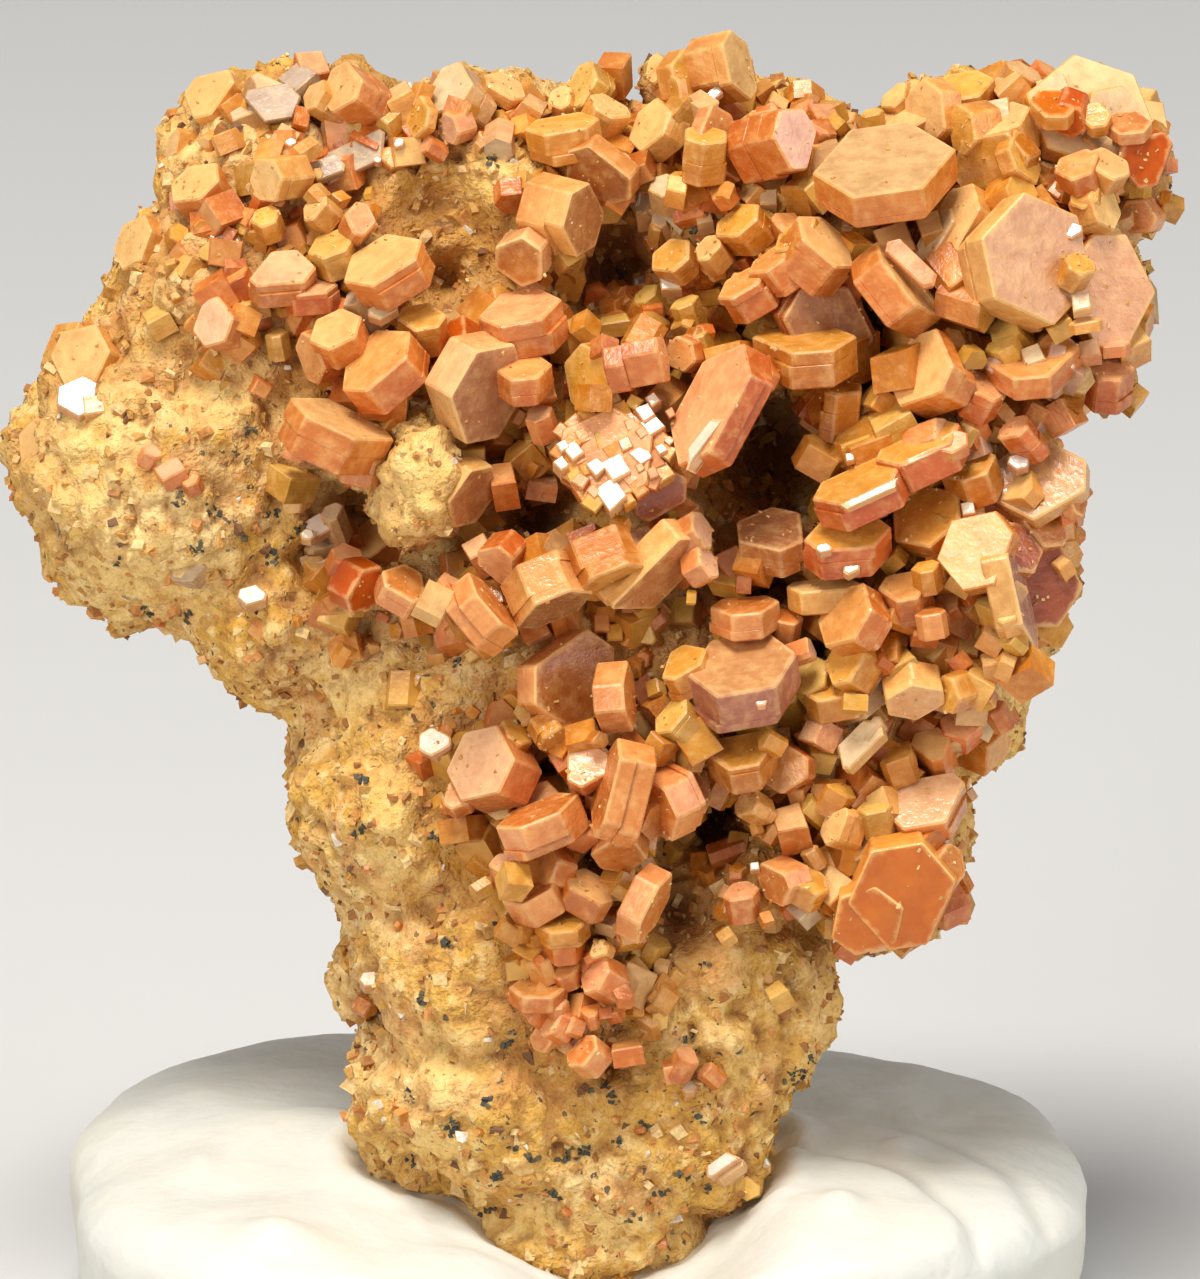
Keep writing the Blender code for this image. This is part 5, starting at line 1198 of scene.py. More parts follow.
@dataclass
class OchreRock:
    """The matrix: a broken-out lump of crumbly ochre rock with hollows in its display face."""

    crystals: Sequence[Crystal]
    coarse: float = 0.5
    fine: float = 0.25
    roughness: tuple[tuple[float, float], ...] = ((3.1, 0.62), (1.4, 0.42))
    crumble: tuple[tuple[float, float], ...] = ((0.7, 0.26), (0.36, 0.14))
    block_size: float = 0.95
    block_height: float = 0.15
    streak: Matrix = Matrix.Diagonal((1 / 1.7, 1 / 3.6, 1 / 1.9)) @ Matrix.Rotation(math.radians(-38.0), 3, "Z")
    streak_depth: float = 0.5
    warm_reach: float = 1.3
    darkened_share: float = 0.9
    pit_fall: float = 1.5
    dip_fall: float = 1.2
    bleached_from: float = -1.5
    relief_range: tuple[float, float] = (-0.4, 0.3)
    seat_margin: float = 0.15
    seat_depth: float = 0.8
    tree: Optional[BVHTree] = None
    mesh: Optional[bpy.types.Mesh] = None

    def build(self, finish: bpy.types.Material) -> bpy.types.Object:
        """Makes the rock.

        Args:
            finish: Its material.

        Returns:
            The piece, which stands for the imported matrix.
        """
        rock = self.lumps()
        self.remesh(rock, self.coarse)
        self.break_back(rock)
        self.remesh(rock, self.fine)
        self.weather(rock)
        mesh = rock.data
        self.tree = BVHTree.FromPolygons([vert.co.copy() for vert in mesh.vertices],
                                         [tuple(face.vertices) for face in mesh.polygons])
        self.mesh = mesh.copy()
        mesh.transform(FACE)
        mesh.materials.append(finish)
        mesh.shade_smooth()
        bpy.context.scene.collection.objects.unlink(rock)
        attach(rock, "ochre_matrix")
        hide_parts("matrix")
        return rock

    def lumps(self) -> bpy.types.Object:
        """The masses of the rock and the roots of its crystals, still overlapping, in millimetres."""
        bm = bmesh.new()
        for lump in LUMPS:
            placed = Matrix.Translation(lump[:3]) @ Matrix.Diagonal((*lump[3:], 1.0))
            bmesh.ops.create_icosphere(bm, subdivisions=3, radius=1.0, matrix=placed)
        for crystal in self.crystals:
            bmesh.ops.create_icosphere(bm, subdivisions=3, radius=1.0, matrix=crystal.root())
        mesh = bpy.data.meshes.new("matrix_rock")
        bm.to_mesh(mesh)
        bm.free()
        made = bpy.data.objects.new("matrix_rock", mesh)
        bpy.context.scene.collection.objects.link(made)
        return made

    @staticmethod
    def remesh(rock: bpy.types.Object, voxel: float) -> None:
        """Grows overlapping shells together into one skin."""
        skin = rock.modifiers.new("skin", "REMESH")
        skin.mode = "VOXEL"
        skin.voxel_size = voxel
        evaluated = rock.evaluated_get(bpy.context.evaluated_depsgraph_get())
        mesh = bpy.data.meshes.new_from_object(evaluated)
        rock.modifiers.clear()
        rock.data = mesh

    @staticmethod
    def break_back(rock: bpy.types.Object) -> None:
        """Breaks the rock off flat behind its display face."""
        bm = bmesh.new()
        bm.from_mesh(rock.data)
        for crack in BREAKS:
            bmesh.ops.triangle_fill(bm, use_beauty=True, edges=cut_away(bm, crack.point, crack.outward))
        bmesh.ops.recalc_face_normals(bm, faces=bm.faces)
        bm.to_mesh(rock.data)
        bm.free()

    def crumbled(self, point: Vector) -> float:
        """How far the fine crumbling lifts a point of the surface, in millimetres."""
        lifted = sum(height * noise.noise(point / size) for size, height in self.crumble)
        along = self.streak @ point
        streak = 1.0 - abs(noise.noise(along)) * 2.0
        near = noise.voronoi((point + Vector((0.4, 0.0, 0.0)) * noise.noise(point / 0.7)) / self.block_size)[0]
        blocks = min((near[1] - near[0]) * 2.2, 1.0) - 0.55
        return lifted - self.streak_depth * max(streak - 0.55, 0.0) + self.block_height * blocks

    def weather(self, rock: bpy.types.Object) -> None:
        """Roughens the rock, presses its hollows in, clears the faces of its crystals and marks its relief."""
        mesh = rock.data
        places, lifts, hollows, warmths, pales = [], [], [], [], []
        middles = np.array([(crystal.u, crystal.v, 0.4 * crystal.across) for crystal in self.crystals])
        for vert in mesh.vertices:
            point, normal = vert.co, vert.normal
            broad = sum(height * noise.noise(point / size) for size, height in self.roughness)
            lift = self.crumbled(point)
            moved = point + normal * (broad + lift)
            hollow = 0.0
            if moved.z > 0.0:
                for pit in PITS:
                    fall = math.exp(-self.pit_fall * away(moved.x, moved.y, pit))
                    hollow = max(hollow, fall)
                    moved = moved - Vector((0.0, 0.0, pit.depth * fall))
                for pit in DIPS:
                    fall = math.exp(-self.dip_fall * away(moved.x, moved.y, pit) ** 2)
                    moved = moved - Vector((0.0, 0.0, pit.depth * fall))
            places.append(moved)
            lifts.append(lift)
            hollows.append(hollow)
            gaps = np.hypot(middles[:, 0] - moved.x, middles[:, 1] - moved.y) - middles[:, 2]
            shown = moved.z > self.bleached_from
            bleach = max(math.exp(-away(moved.x, moved.y, patch)) for patch in BLEACHED) if shown else 0.0
            # Darker warm brown: close round the crystals' feet, and over the darkened patches, which are partly
            # painted shade.
            near = math.exp(-(max(float(gaps.min()), 0.0) / self.warm_reach) ** 2) if moved.z > 0.0 else 0.0
            darkened = max(math.exp(-away(moved.x, moved.y, patch)) for patch in DARKENED_PATCHES)
            warmths.append(max(near, self.darkened_share * darkened) * (1.0 - bleach))
            pales.append(bleach)
        spots = self.clear_seats(np.array(places, np.float64))
        mesh.vertices.foreach_set("co", spots.astype(np.float32).ravel())
        mesh.update()
        mark(mesh, "relief", "POINT", np.interp(lifts, self.relief_range, (0.0, 1.0)))
        # The pits' mask, which the rock's finish paints dark brown as shade.
        mark(mesh, "hollow", "POINT", np.clip(np.array(hollows) * 1.3 - 0.25, 0.0, 1.0))
        mark(mesh, "warmth", "POINT", warmths)
        mark(mesh, "pale", "POINT", pales)

    def clear_seats(self, spots: np.ndarray) -> np.ndarray:
        """Sinks the rock wherever it would creep over the face of a crystal."""
        for crystal in self.crystals:
            inverse = np.array(crystal.axes().inverted())
            local = spots @ inverse[:3, :3].T + inverse[:3, 3]
            reach = np.max([np.abs(local[:, 0] * math.cos(a) + local[:, 1] * math.sin(a))
                            for a in (0.0, math.pi / 3, -math.pi / 3)], axis=0)
            top, level = crystal.thick / 2, local[:, 2]
            inside = (reach < crystal.radius() + 0.05) & (level > top - self.seat_margin)
            inside &= level < top + self.seat_depth
            normal = np.array(crystal.outward())
            drop = (level - (top - self.seat_margin)) * inside
            spots = spots - drop[:, None] * normal[None, :]
        return spots

    def hit(self, u: float, v: float) -> tuple[Optional[Vector], Optional[Vector]]:
        """The point of the display face at u, v and the way that the rock looks there."""
        point, normal, _, _ = self.tree.ray_cast(Vector((u, v, 40.0)), Vector((0.0, 0.0, -1.0)))
        return point, normal


class CrumbKind(Enum):
    """What a loose crumb is made of: its colour and how often it turns up."""

    OCHRE = ((0.66, 0.37, 0.09), 40)
    CREAM = ((0.88, 0.64, 0.28), 24)
    RUST = ((0.46, 0.20, 0.05), 14)
    ORANGE = ((0.74, 0.34, 0.09), 14)
    BROWN = ((0.22, 0.10, 0.04), 5)
    WHITE = ((0.90, 0.84, 0.72), 3)


@dataclass
class MineralTack:
    """The kneaded lump of tack that the specimen is pressed into, finished on every side.

    A dent, crease or mark is given by its middle, its half sizes and its depth or height, in millimetres, and the
    lip round the rock by its height, its distance from the rock and its width.
    """

    rock: OchreRock
    half_size: tuple[float, float] = (16.25, 13.0)
    widest_at: float = 4.2
    rise: float = 2.7
    undercut: float = 7.5
    squareness: float = 2.8
    dent: tuple[float, float, float, float, float] = (0.9, -8.6, 4.7, 4.2, 3.4)
    fold: float = 0.35
    crease_width: float = 0.05
    soil_reach: float = 0.7
    lip: tuple[float, float, float] = (0.28, 0.75, 0.5)
    segments: int = 300
    rings: int = 170
    creases: tuple[tuple[float, float, float, float, float], ...] = (
        (6.0, -10.5, 6.2, 7.3, 0.4), (6.4, -10.5, 8.3, 11.4, 0.3),
    )
    marks: tuple[tuple[float, float, float, float, float], ...] = (
        (-9.6, -9.6, 1.2, 0.9, 0.75), (8.2, -7.9, 0.6, 0.8, 0.45), (10.8, -6.5, 2.6, 1.1, -0.35),
        (-12.3, -3.2, 0.7, 1.2, 0.4), (10.3, -2.4, 0.5, 0.9, 0.35), (-9.5, -0.5, 4.2, 1.6, 0.45),
        (-10.5, -5.5, 3.0, 1.6, -0.35), (6.9, -8.6, 1.6, 2.6, 0.8), (-14.2, -7.0, 1.0, 3.0, 0.25),
        (-2.8, -9.4, 2.2, 2.0, 0.8), (-12.0, -5.0, 3.0, 2.0, -0.3), (6.0, 6.5, 3.2, 1.6, -0.5),
        (-6.5, 7.0, 2.4, 2.4, -0.5), (12.5, 2.0, 1.6, 2.8, -0.4), (-12.6, 3.0, 1.8, 2.2, 0.3),
        (1.0, 9.5, 3.5, 1.2, 0.4),
    )

    def surface(self, unit: Vector) -> Vector:
        """Carries a point of a unit ball to the surface of the tack, in millimetres of the part's frame."""
        squareness = self.squareness - 0.4 * unit.x
        reach = sum(abs(value) ** squareness for value in unit) ** (1.0 / squareness)
        x, y, z = unit / reach
        rise = self.rise if z > 0 else self.undercut
        point = Vector((x * self.half_size[0], y * self.half_size[1], self.widest_at + z * rise))
        upper = max(z, 0.0)
        *patch, depth = self.dent
        point.z -= depth * math.exp(-away(point.x, point.y, patch) / 2) * upper
        fold = self.fold * noise.noise(Vector((point.x, point.y * 1.5, point.z)) / 6.0)
        fine = 0.1 * noise.noise(point / 1.9) + 0.035 * noise.noise(point / 0.6)
        for *patch, height in self.marks:
            point.z += height * math.exp(-away(point.x, point.y, patch)) * upper
        for *patch, height in self.creases:
            reach = math.sqrt(away(point.x, point.y, patch))
            step = 0.5 - 0.5 * math.tanh((reach - 1.0) / self.crease_width)
            step -= 0.6 * math.exp(-((reach - 1.07) / self.crease_width) ** 2)
            beside = min(max((point.x - 3.0) / 3.0, 0.0), 1.0)
            point.z += height * step * beside * min(upper * 3.0, 1.0)
        return point + unit * (fold + fine)

    def build(self, finish: bpy.types.Material) -> bpy.types.Object:
        """Makes the tack.

        Args:
            finish: Its material.

        Returns:
            The piece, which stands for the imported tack.
        """
        bm = bmesh.new()
        bmesh.ops.create_uvsphere(bm, u_segments=self.segments, v_segments=self.rings, radius=1.0)
        for vert in bm.verts:
            vert.co = self.surface(vert.co.copy())
        bmesh.ops.contextual_create(bm, geom=cut_away(bm, (0, 0, 0), (0, 0, -1)))
        bmesh.ops.recalc_face_normals(bm, faces=bm.faces)
        to_face = FACE.inverted() @ Matrix.Scale(MM, 4)
        height, middle, width = self.lip
        soils = []
        for vert in bm.verts:
            local = to_face @ vert.co
            near, normal, _, distance = self.rock.tree.find_nearest(local)
            close = math.exp(-(distance / self.soil_reach) ** 2) if vert.co.z > 0.05 else 0.0
            if (local - near).dot(normal) > 0.0 and vert.co.z > 0.5:
                vert.co.z += height * math.exp(-((distance - middle) / width) ** 2) - 0.1 * close
            soils.append(close * (0.5 + noise.noise(vert.co / 0.8)))
        bm.transform(Matrix.Scale(MM, 4))
        mesh = bpy.data.meshes.new("tack_lump")
        bm.to_mesh(mesh)
        bm.free()
        mark(mesh, "soil", "POINT", np.clip(soils, 0.0, 1.0))
        mesh.materials.append(finish)
        mesh.shade_smooth()
        lump = attach(bpy.data.objects.new("tack_lump", mesh), "white_mineral_tack")
        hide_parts("mineral_tack_base")
        return lump


class Softbox(NamedTuple):
    """A square soft light: its name, place and size in metres, power in watts, and colour."""

    name: str
    place: tuple[float, float, float]
    size: float
    power: float
    colour: Colour


SOFTBOXES: tuple[Softbox, ...] = (
    Softbox("overhead", (-0.05, -0.12, 0.42), 0.16, 2.05, (1.0, 0.98, 0.95)),
    Softbox("front_left", (-0.32, -0.42, 0.24), 0.2, 1.25, (1.0, 0.98, 0.96)),
    Softbox("right", (0.42, -0.2, 0.2), 0.3, 0.95, (0.95, 0.97, 1.0)),
)


@dataclass
class Studio:
    """The pale floor, the soft lights and the camera. The camera is set in millimetres, the floor in metres."""

    frame_height: float = 39.97
    focus_depth: float = 6.0
    distance: float = 400.0
    middle: float = 19.984
    sensor: float = 36.0
    floor_front: float = -1.2
    half_width: float = 1.6
    sweep: float = 0.35
    wall: float = 1.6
    surround: Colour = (0.93, 0.95, 1.0)
    surround_strength: float = 0.29

    def build(self, effects: Effects) -> None:
        """Sets up everything that isn't part of the specimen."""
        self.build_camera()
        self.build_floor(effects)
        self.build_lights()

    def build_camera(self) -> None:
        """A long lens that looks squarely at the display face."""
        lens = bpy.data.cameras.new("camera")
        lens.sensor_fit = "VERTICAL"
        lens.sensor_height = self.sensor
        lens.lens = self.sensor * (self.distance - self.focus_depth) / self.frame_height
        lens.clip_start, lens.clip_end = 0.01, 10.0
        camera = bpy.data.objects.new("camera", lens)
        bpy.context.scene.collection.objects.link(camera)
        place = FACE @ Matrix.Translation((0.0, self.middle, self.distance))
        turn = (FACE @ Matrix.Scale(1.0 / MM, 4)).to_3x3().to_4x4()
        camera.matrix_world = Matrix.Translation(place.to_translation()) @ turn
        bpy.context.scene.camera = camera

    def build_floor(self, effects: Effects) -> None:
        """A wide floor that sweeps up behind the specimen."""
        bm = bmesh.new()
        profile = [(self.floor_front, 0.0), (self.sweep, 0.0)]
        profile += [(self.sweep + self.sweep * math.sin(a), self.sweep - self.sweep * math.cos(a))
                    for a in (math.radians(7.5 * step) for step in range(1, 13))]
        profile.append((2.0 * self.sweep, self.wall))
        rows = [[bm.verts.new((x, y, z)) for x in (-self.half_width, self.half_width)] for y, z in profile]
        for low, high in zip(rows, rows[1:]):
            bm.faces.new((low[0], low[1], high[1], high[0]))
        mesh = bpy.data.meshes.new("studio_floor")
        bm.to_mesh(mesh)
        bm.free()
        mesh.materials.append(FloorFinish().build(effects))
        mesh.shade_smooth()
        floor = bpy.data.objects.new("studio_floor", mesh)
        bpy.context.scene.collection.objects.link(floor)

    def build_lights(self) -> None:
        """A large light overhead, one from the front left, one from the right, and an even pale surround."""
        for box in SOFTBOXES:
            light = bpy.data.lights.new(box.name, "AREA")
            light.size, light.energy, light.color = box.size, box.power, box.colour
            lamp = bpy.data.objects.new(box.name, light)
            bpy.context.scene.collection.objects.link(lamp)
            aim = Vector((0.0, 0.0, 0.02)) - Vector(box.place)
            lamp.rotation_mode = "QUATERNION"
            lamp.rotation_quaternion = aim.to_track_quat("-Z", "Y")
            lamp.location = box.place
        world = bpy.data.worlds.new("surround")
        world.use_nodes = True
        shade = world.node_tree.nodes["Background"]
        shade.inputs["Color"].default_value = (*self.surround, 1.0)
        shade.inputs["Strength"].default_value = self.surround_strength
        bpy.context.scene.world = world
        bpy.context.scene.view_settings.view_transform = "Standard"


@dataclass
class CrystalGroups:
    """The intergrown groups of crystals, one piece each."""

    shaper: TabletShaper = field(default_factory=TabletShaper)

    def build(self, finishes: dict[str, bpy.types.Material]) -> list[bpy.types.Object]:
        """Makes each group.

        Args:
            finishes: The material of each of the record's slots.

        Returns:
            The pieces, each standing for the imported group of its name.
        """
        slots = {part["node"]: part["material_slot"] for part in frame["record"]["subparts"]}
        made = []
        for name, group in CRYSTAL_GROUPS.items():
            skin = Skin()
            for crystal in group:
                self.shaper.grow(crystal, skin)
            piece = skin.build(name + "_tablets", finishes[slots[name]], slots[name])
            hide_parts(name)
            made.append(piece)
        return made


# How often each tone turns up among the small crystals.
FILLING_MIX: dict[Tone, int] = {
    Tone.AMBER: 7, Tone.TAN: 5, Tone.OCHRE: 7, Tone.PINK: 3, Tone.PALE: 4, Tone.HONEY: 3, Tone.CHALK: 1,
}


@dataclass
class SmallCrystals:
    """The small crystals that fill the spaces between the tablets and sprinkle the bare rock.

    flat_share is how far a tablet's side lies from its middle, as a share of its width over two corners.
    """

    rock: OchreRock
    shaper: TabletShaper
    zone: tuple[tuple[float, float], ...] = (
        (-13.0, 37.6), (-7.5, 38.0), (-2.0, 37.4), (3.5, 38.4), (9.0, 37.4), (13.5, 38.0), (17.4, 36.4),
        (17.0, 30.0), (15.6, 26.0), (14.6, 21.4), (12.8, 17.0), (11.2, 11.6), (8.2, 11.2), (4.8, 10.8),
        (0.6, 6.6), (-1.8, 7.0), (-3.6, 12.6), (-5.6, 16.0), (-8.6, 20.6), (-9.2, 25.2), (-12.6, 28.6),
        (-13.6, 33.6),
    )
    bare: tuple[Patch, ...] = (
        (-5.6, 25.0, 1.6, 2.6), (-4.9, 32.6, 2.3, 3.1), (5.3, 25.8, 1.7, 2.3), (-2.1, 23.7, 1.6, 1.5),
        (0.4, 32.2, 1.2, 1.3), (3.8, 14.5, 0.8, 1.2), (2.6, 11.4, 1.2, 1.5), (5.5, 30.3, 0.5, 0.5),
        (8.6, 29.6, 0.8, 1.2), (-1.9, 15.8, 0.6, 0.5), (-10.6, 27.4, 1.7, 2.0), (-4.3, 19.0, 2.0, 1.2),
        (-8.2, 25.0, 1.2, 1.3), (-5.6, 23.6, 1.9, 1.4), (9.2, 9.4, 2.0, 1.1), (6.9, 10.6, 0.9, 1.0),
        (12.4, 12.0, 1.0, 1.6), (15.6, 19.8, 1.4, 1.5), (16.2, 23.4, 1.2, 1.4), (0.5, 25.3, 1.5, 1.6),
        (12.0, 13.4, 1.3, 1.2),
    )
    inside: int = 1150
    across_range: tuple[float, float] = (-14.0, 18.0)
    up_range: tuple[float, float] = (6.0, 38.5)
    highest: float = 37.2
    sprinkled: int = 200
    flat_share: float = 0.433
    own_tone_share: float = 0.35
    filling_spread: float = 1.5
    sprinkled_spread: float = 0.7
    seed: int = 33

    def __post_init__(self) -> None:
        """Readies the large crystals for asking what lies inside them."""
        self.large = self.rock.crystals
        self.inverse = np.array([np.array(crystal.axes().inverted()) for crystal in self.large])
        self.reach = np.array([crystal.across * self.flat_share * max(crystal.stretch, 1.0) for crystal in self.large])
        self.half = np.array([crystal.thick / 2 for crystal in self.large])
        self.middles = np.array([(crystal.u, crystal.v, crystal.d) for crystal in self.large])
        self.outs = np.array([tuple(crystal.outward()) for crystal in self.large])

    def local(self, point: Sequence[float]) -> np.ndarray:
        """Where a point lies from the middle of each large crystal, along that crystal's own axes."""
        return self.inverse[:, :3, :3] @ np.array(point) + self.inverse[:, :3, 3]

    def buried(self, point: Vector, size: float, own: Optional[int] = None) -> bool:
        """Whether something of a size would poke out through the face of a large crystal other than its own."""
        local = self.local(point)
        aside = np.hypot(local[:, 0], local[:, 1]) < self.reach * 0.92
        level = (local[:, 2] > -self.half - 0.1 * size) & (local[:, 2] < self.half + 0.6 * size)
        inside = aside & level
        if own is not None:
            inside[own] = False
        return bool(inside.any())

    def hides_large(self, point: Vector) -> bool:
        """Whether a point stands in front of the flat face of a large crystal."""
        depths = self.middles[:, 2] - (self.outs[:, 0] * (point.x - self.middles[:, 0]) +
                                       self.outs[:, 1] * (point.y - self.middles[:, 1])) / self.outs[:, 2]
        apart = np.linalg.norm(np.stack((point.x - self.middles[:, 0], point.y - self.middles[:, 1],
                                         depths - self.middles[:, 2]), 1), axis=1)
        return bool(((apart < self.reach * 0.9) & (depths < point.z) & (depths > point.z - 3.0)).any())

    def is_bare(self, u: float, v: float) -> bool:
        """Whether a point of the display face lies where no crystals grow."""
        return any(away(u, v, patch) < 1.0 for patch in self.bare)

    def footing(self, rng: random.Random, tones: Sequence[Tone], filling: Skin) -> None:
        """Crowds small crystals round the foot of each large one.

        Args:
            rng: The random draws.
            tones: The colours to choose from.
            filling: The piece that they go to.
        """
        for number, crystal in enumerate(self.large):
            place = crystal.axes()
            kept = self.own_tone_share if crystal.tone in tones else 0.0
            for _ in range(int(4 + 2.4 * crystal.across)):
                angle, radius = rng.uniform(0, math.tau), 0.5 * crystal.across * rng.uniform(0.7, 1.15)
                depth = crystal.thick / 2 + crystal.across * rng.uniform(-0.12, 0.42)
                size = min(max(crystal.across * rng.uniform(0.25, 0.6), 0.5), 1.7)
                tone = crystal.tone if rng.random() < kept else rng.choice(tones)
                point = place @ Vector((math.cos(angle) * radius, math.sin(angle) * radius, -depth))
                swing = any_way(rng)
                _, _, _, distance = self.rock.tree.find_nearest(point)
                loose = distance > 0.5 * size and depth > crystal.thick / 2 + 0.3 * size
                covers = point.z > place.translation.z + 0.12 * crystal.across or point.y > self.highest
                if self.rock.hit(point.x, point.y)[0] is None or self.hides_large(point):
                    continue
                if loose or covers or self.is_bare(point.x, point.y) or self.buried(point, size, number):
                    continue
                out = (crystal.outward() + swing * 1.1).normalized()
                self.shaper.grow_small(self.facing(point, out, size, rng.uniform(0.5, 0.95), rng, tone), filling)

    @staticmethod
    def facing(point: Vector, out: Vector, across: float, blockiness: float, rng: random.Random,
               tone: Tone) -> Crystal:
        """A small crystal whose flat face looks in a given direction."""
        tilt = math.degrees(math.acos(max(-1.0, min(1.0, out.z))))
        lean = math.degrees(math.atan2(out.y, out.x))
        return Crystal(tone, point.x, point.y, point.z, across, across * blockiness, lean, tilt, rng.uniform(0, 60))

    def in_zone(self, u: float, v: float) -> bool:
        """Whether a point of the display face lies in the crystal-covered part."""
        crossings = 0
        for (u0, v0), (u1, v1) in zip(self.zone, self.zone[1:] + self.zone[:1]):
            if (v0 > v) != (v1 > v) and u < u0 + (v - v0) / (v1 - v0) * (u1 - u0):
                crossings += 1
        return crossings % 2 == 1

    def settle(self, point: Vector, normal: Vector, across: float, spread: float,
               rng: random.Random, tone: Tone) -> Crystal:
        """A small crystal that grows out of the rock at a point.

        Args:
            point: Where it grows, in millimetres of the display face.
            normal: The way that the rock looks there.
            across: Its width over two corners.
            spread: How far its face may turn away from the rock's, as a share of a half turn.
            rng: The random draws.
            tone: Its colour.

        Returns:
            The crystal.
        """
        swing = any_way(rng)
        out = (normal.normalized() + swing * spread).normalized()
        blockiness = rng.uniform(0.45, 0.95)
        middle = point + normal * across * rng.uniform(-0.1, 0.15) + out * across * blockiness * 0.5
        return self.facing(middle, out, across, blockiness, rng, tone)

    def beside_large(self, crystal: Crystal) -> bool:
        """Whether a small crystal sits on or against a large one."""
        local = self.local((crystal.u, crystal.v, crystal.d))
        aside = np.hypot(local[:, 0], local[:, 1]) < self.reach * 1.15 + 0.3 * crystal.across
        return bool((aside & (np.abs(local[:, 2]) < self.half + 0.5 + 0.3 * crystal.across)).any())

    def seated(self, crystal: Crystal) -> Crystal:
        """The same crystal, brought down onto the rock if it would stand clear of everything."""
        point, _ = self.rock.hit(crystal.u, crystal.v)
        if point is None:
            return crystal
        depth = max(crystal.d, point.z + 0.15)
        if not self.beside_large(crystal):
            depth = min(depth, point.z + 0.6 * crystal.across + 0.3)
        return replace(crystal, d=depth)

    def build(self, finish: bpy.types.Material) -> list[bpy.types.Object]:
        """Scatters and makes them.

        Args:
            finish: Their material.

        Returns:
            The pieces.
        """
        rng = random.Random(self.seed)
        tones = [tone for tone, share in FILLING_MIX.items() for _ in range(share)]
        filling = Skin()
        placed = 0
        while placed < self.inside:
            u, v = rng.uniform(*self.across_range), rng.uniform(*self.up_range)
            if not self.in_zone(u, v) or self.is_bare(u, v):
                continue
            point, normal = self.rock.hit(u, v)
            if point is None:
                continue
            placed += 1
            across = 0.5 + 1.1 * rng.random() ** 1.7
            grown = self.settle(point, normal, across, self.filling_spread, rng, rng.choice(tones))
            if not self.buried(point, across):
                self.shaper.grow_small(grown, filling)
        self.footing(rng, tones, filling)
        for crystal in LONE_CRYSTALS:
            self.shaper.grow_small(self.seated(crystal), filling)
        made = [filling.build("filling_crystals", finish, "vanadinite")]
        sprinkled = Skin()
        mesh = self.rock.mesh
        for _ in range(self.sprinkled):
            face = mesh.polygons[rng.randrange(len(mesh.polygons))]
            across = 0.3 + 0.6 * rng.random() ** 2
            tone = rng.choice((Tone.OCHRE, Tone.PALE, Tone.TAN, Tone.AMBER))
            grown = self.settle(face.center, face.normal, across, self.sprinkled_spread, rng, tone)
            self.shaper.grow_small(grown, sprinkled)
        made.append(sprinkled.build("sprinkled_crystals", finish, "vanadinite"))
        return made


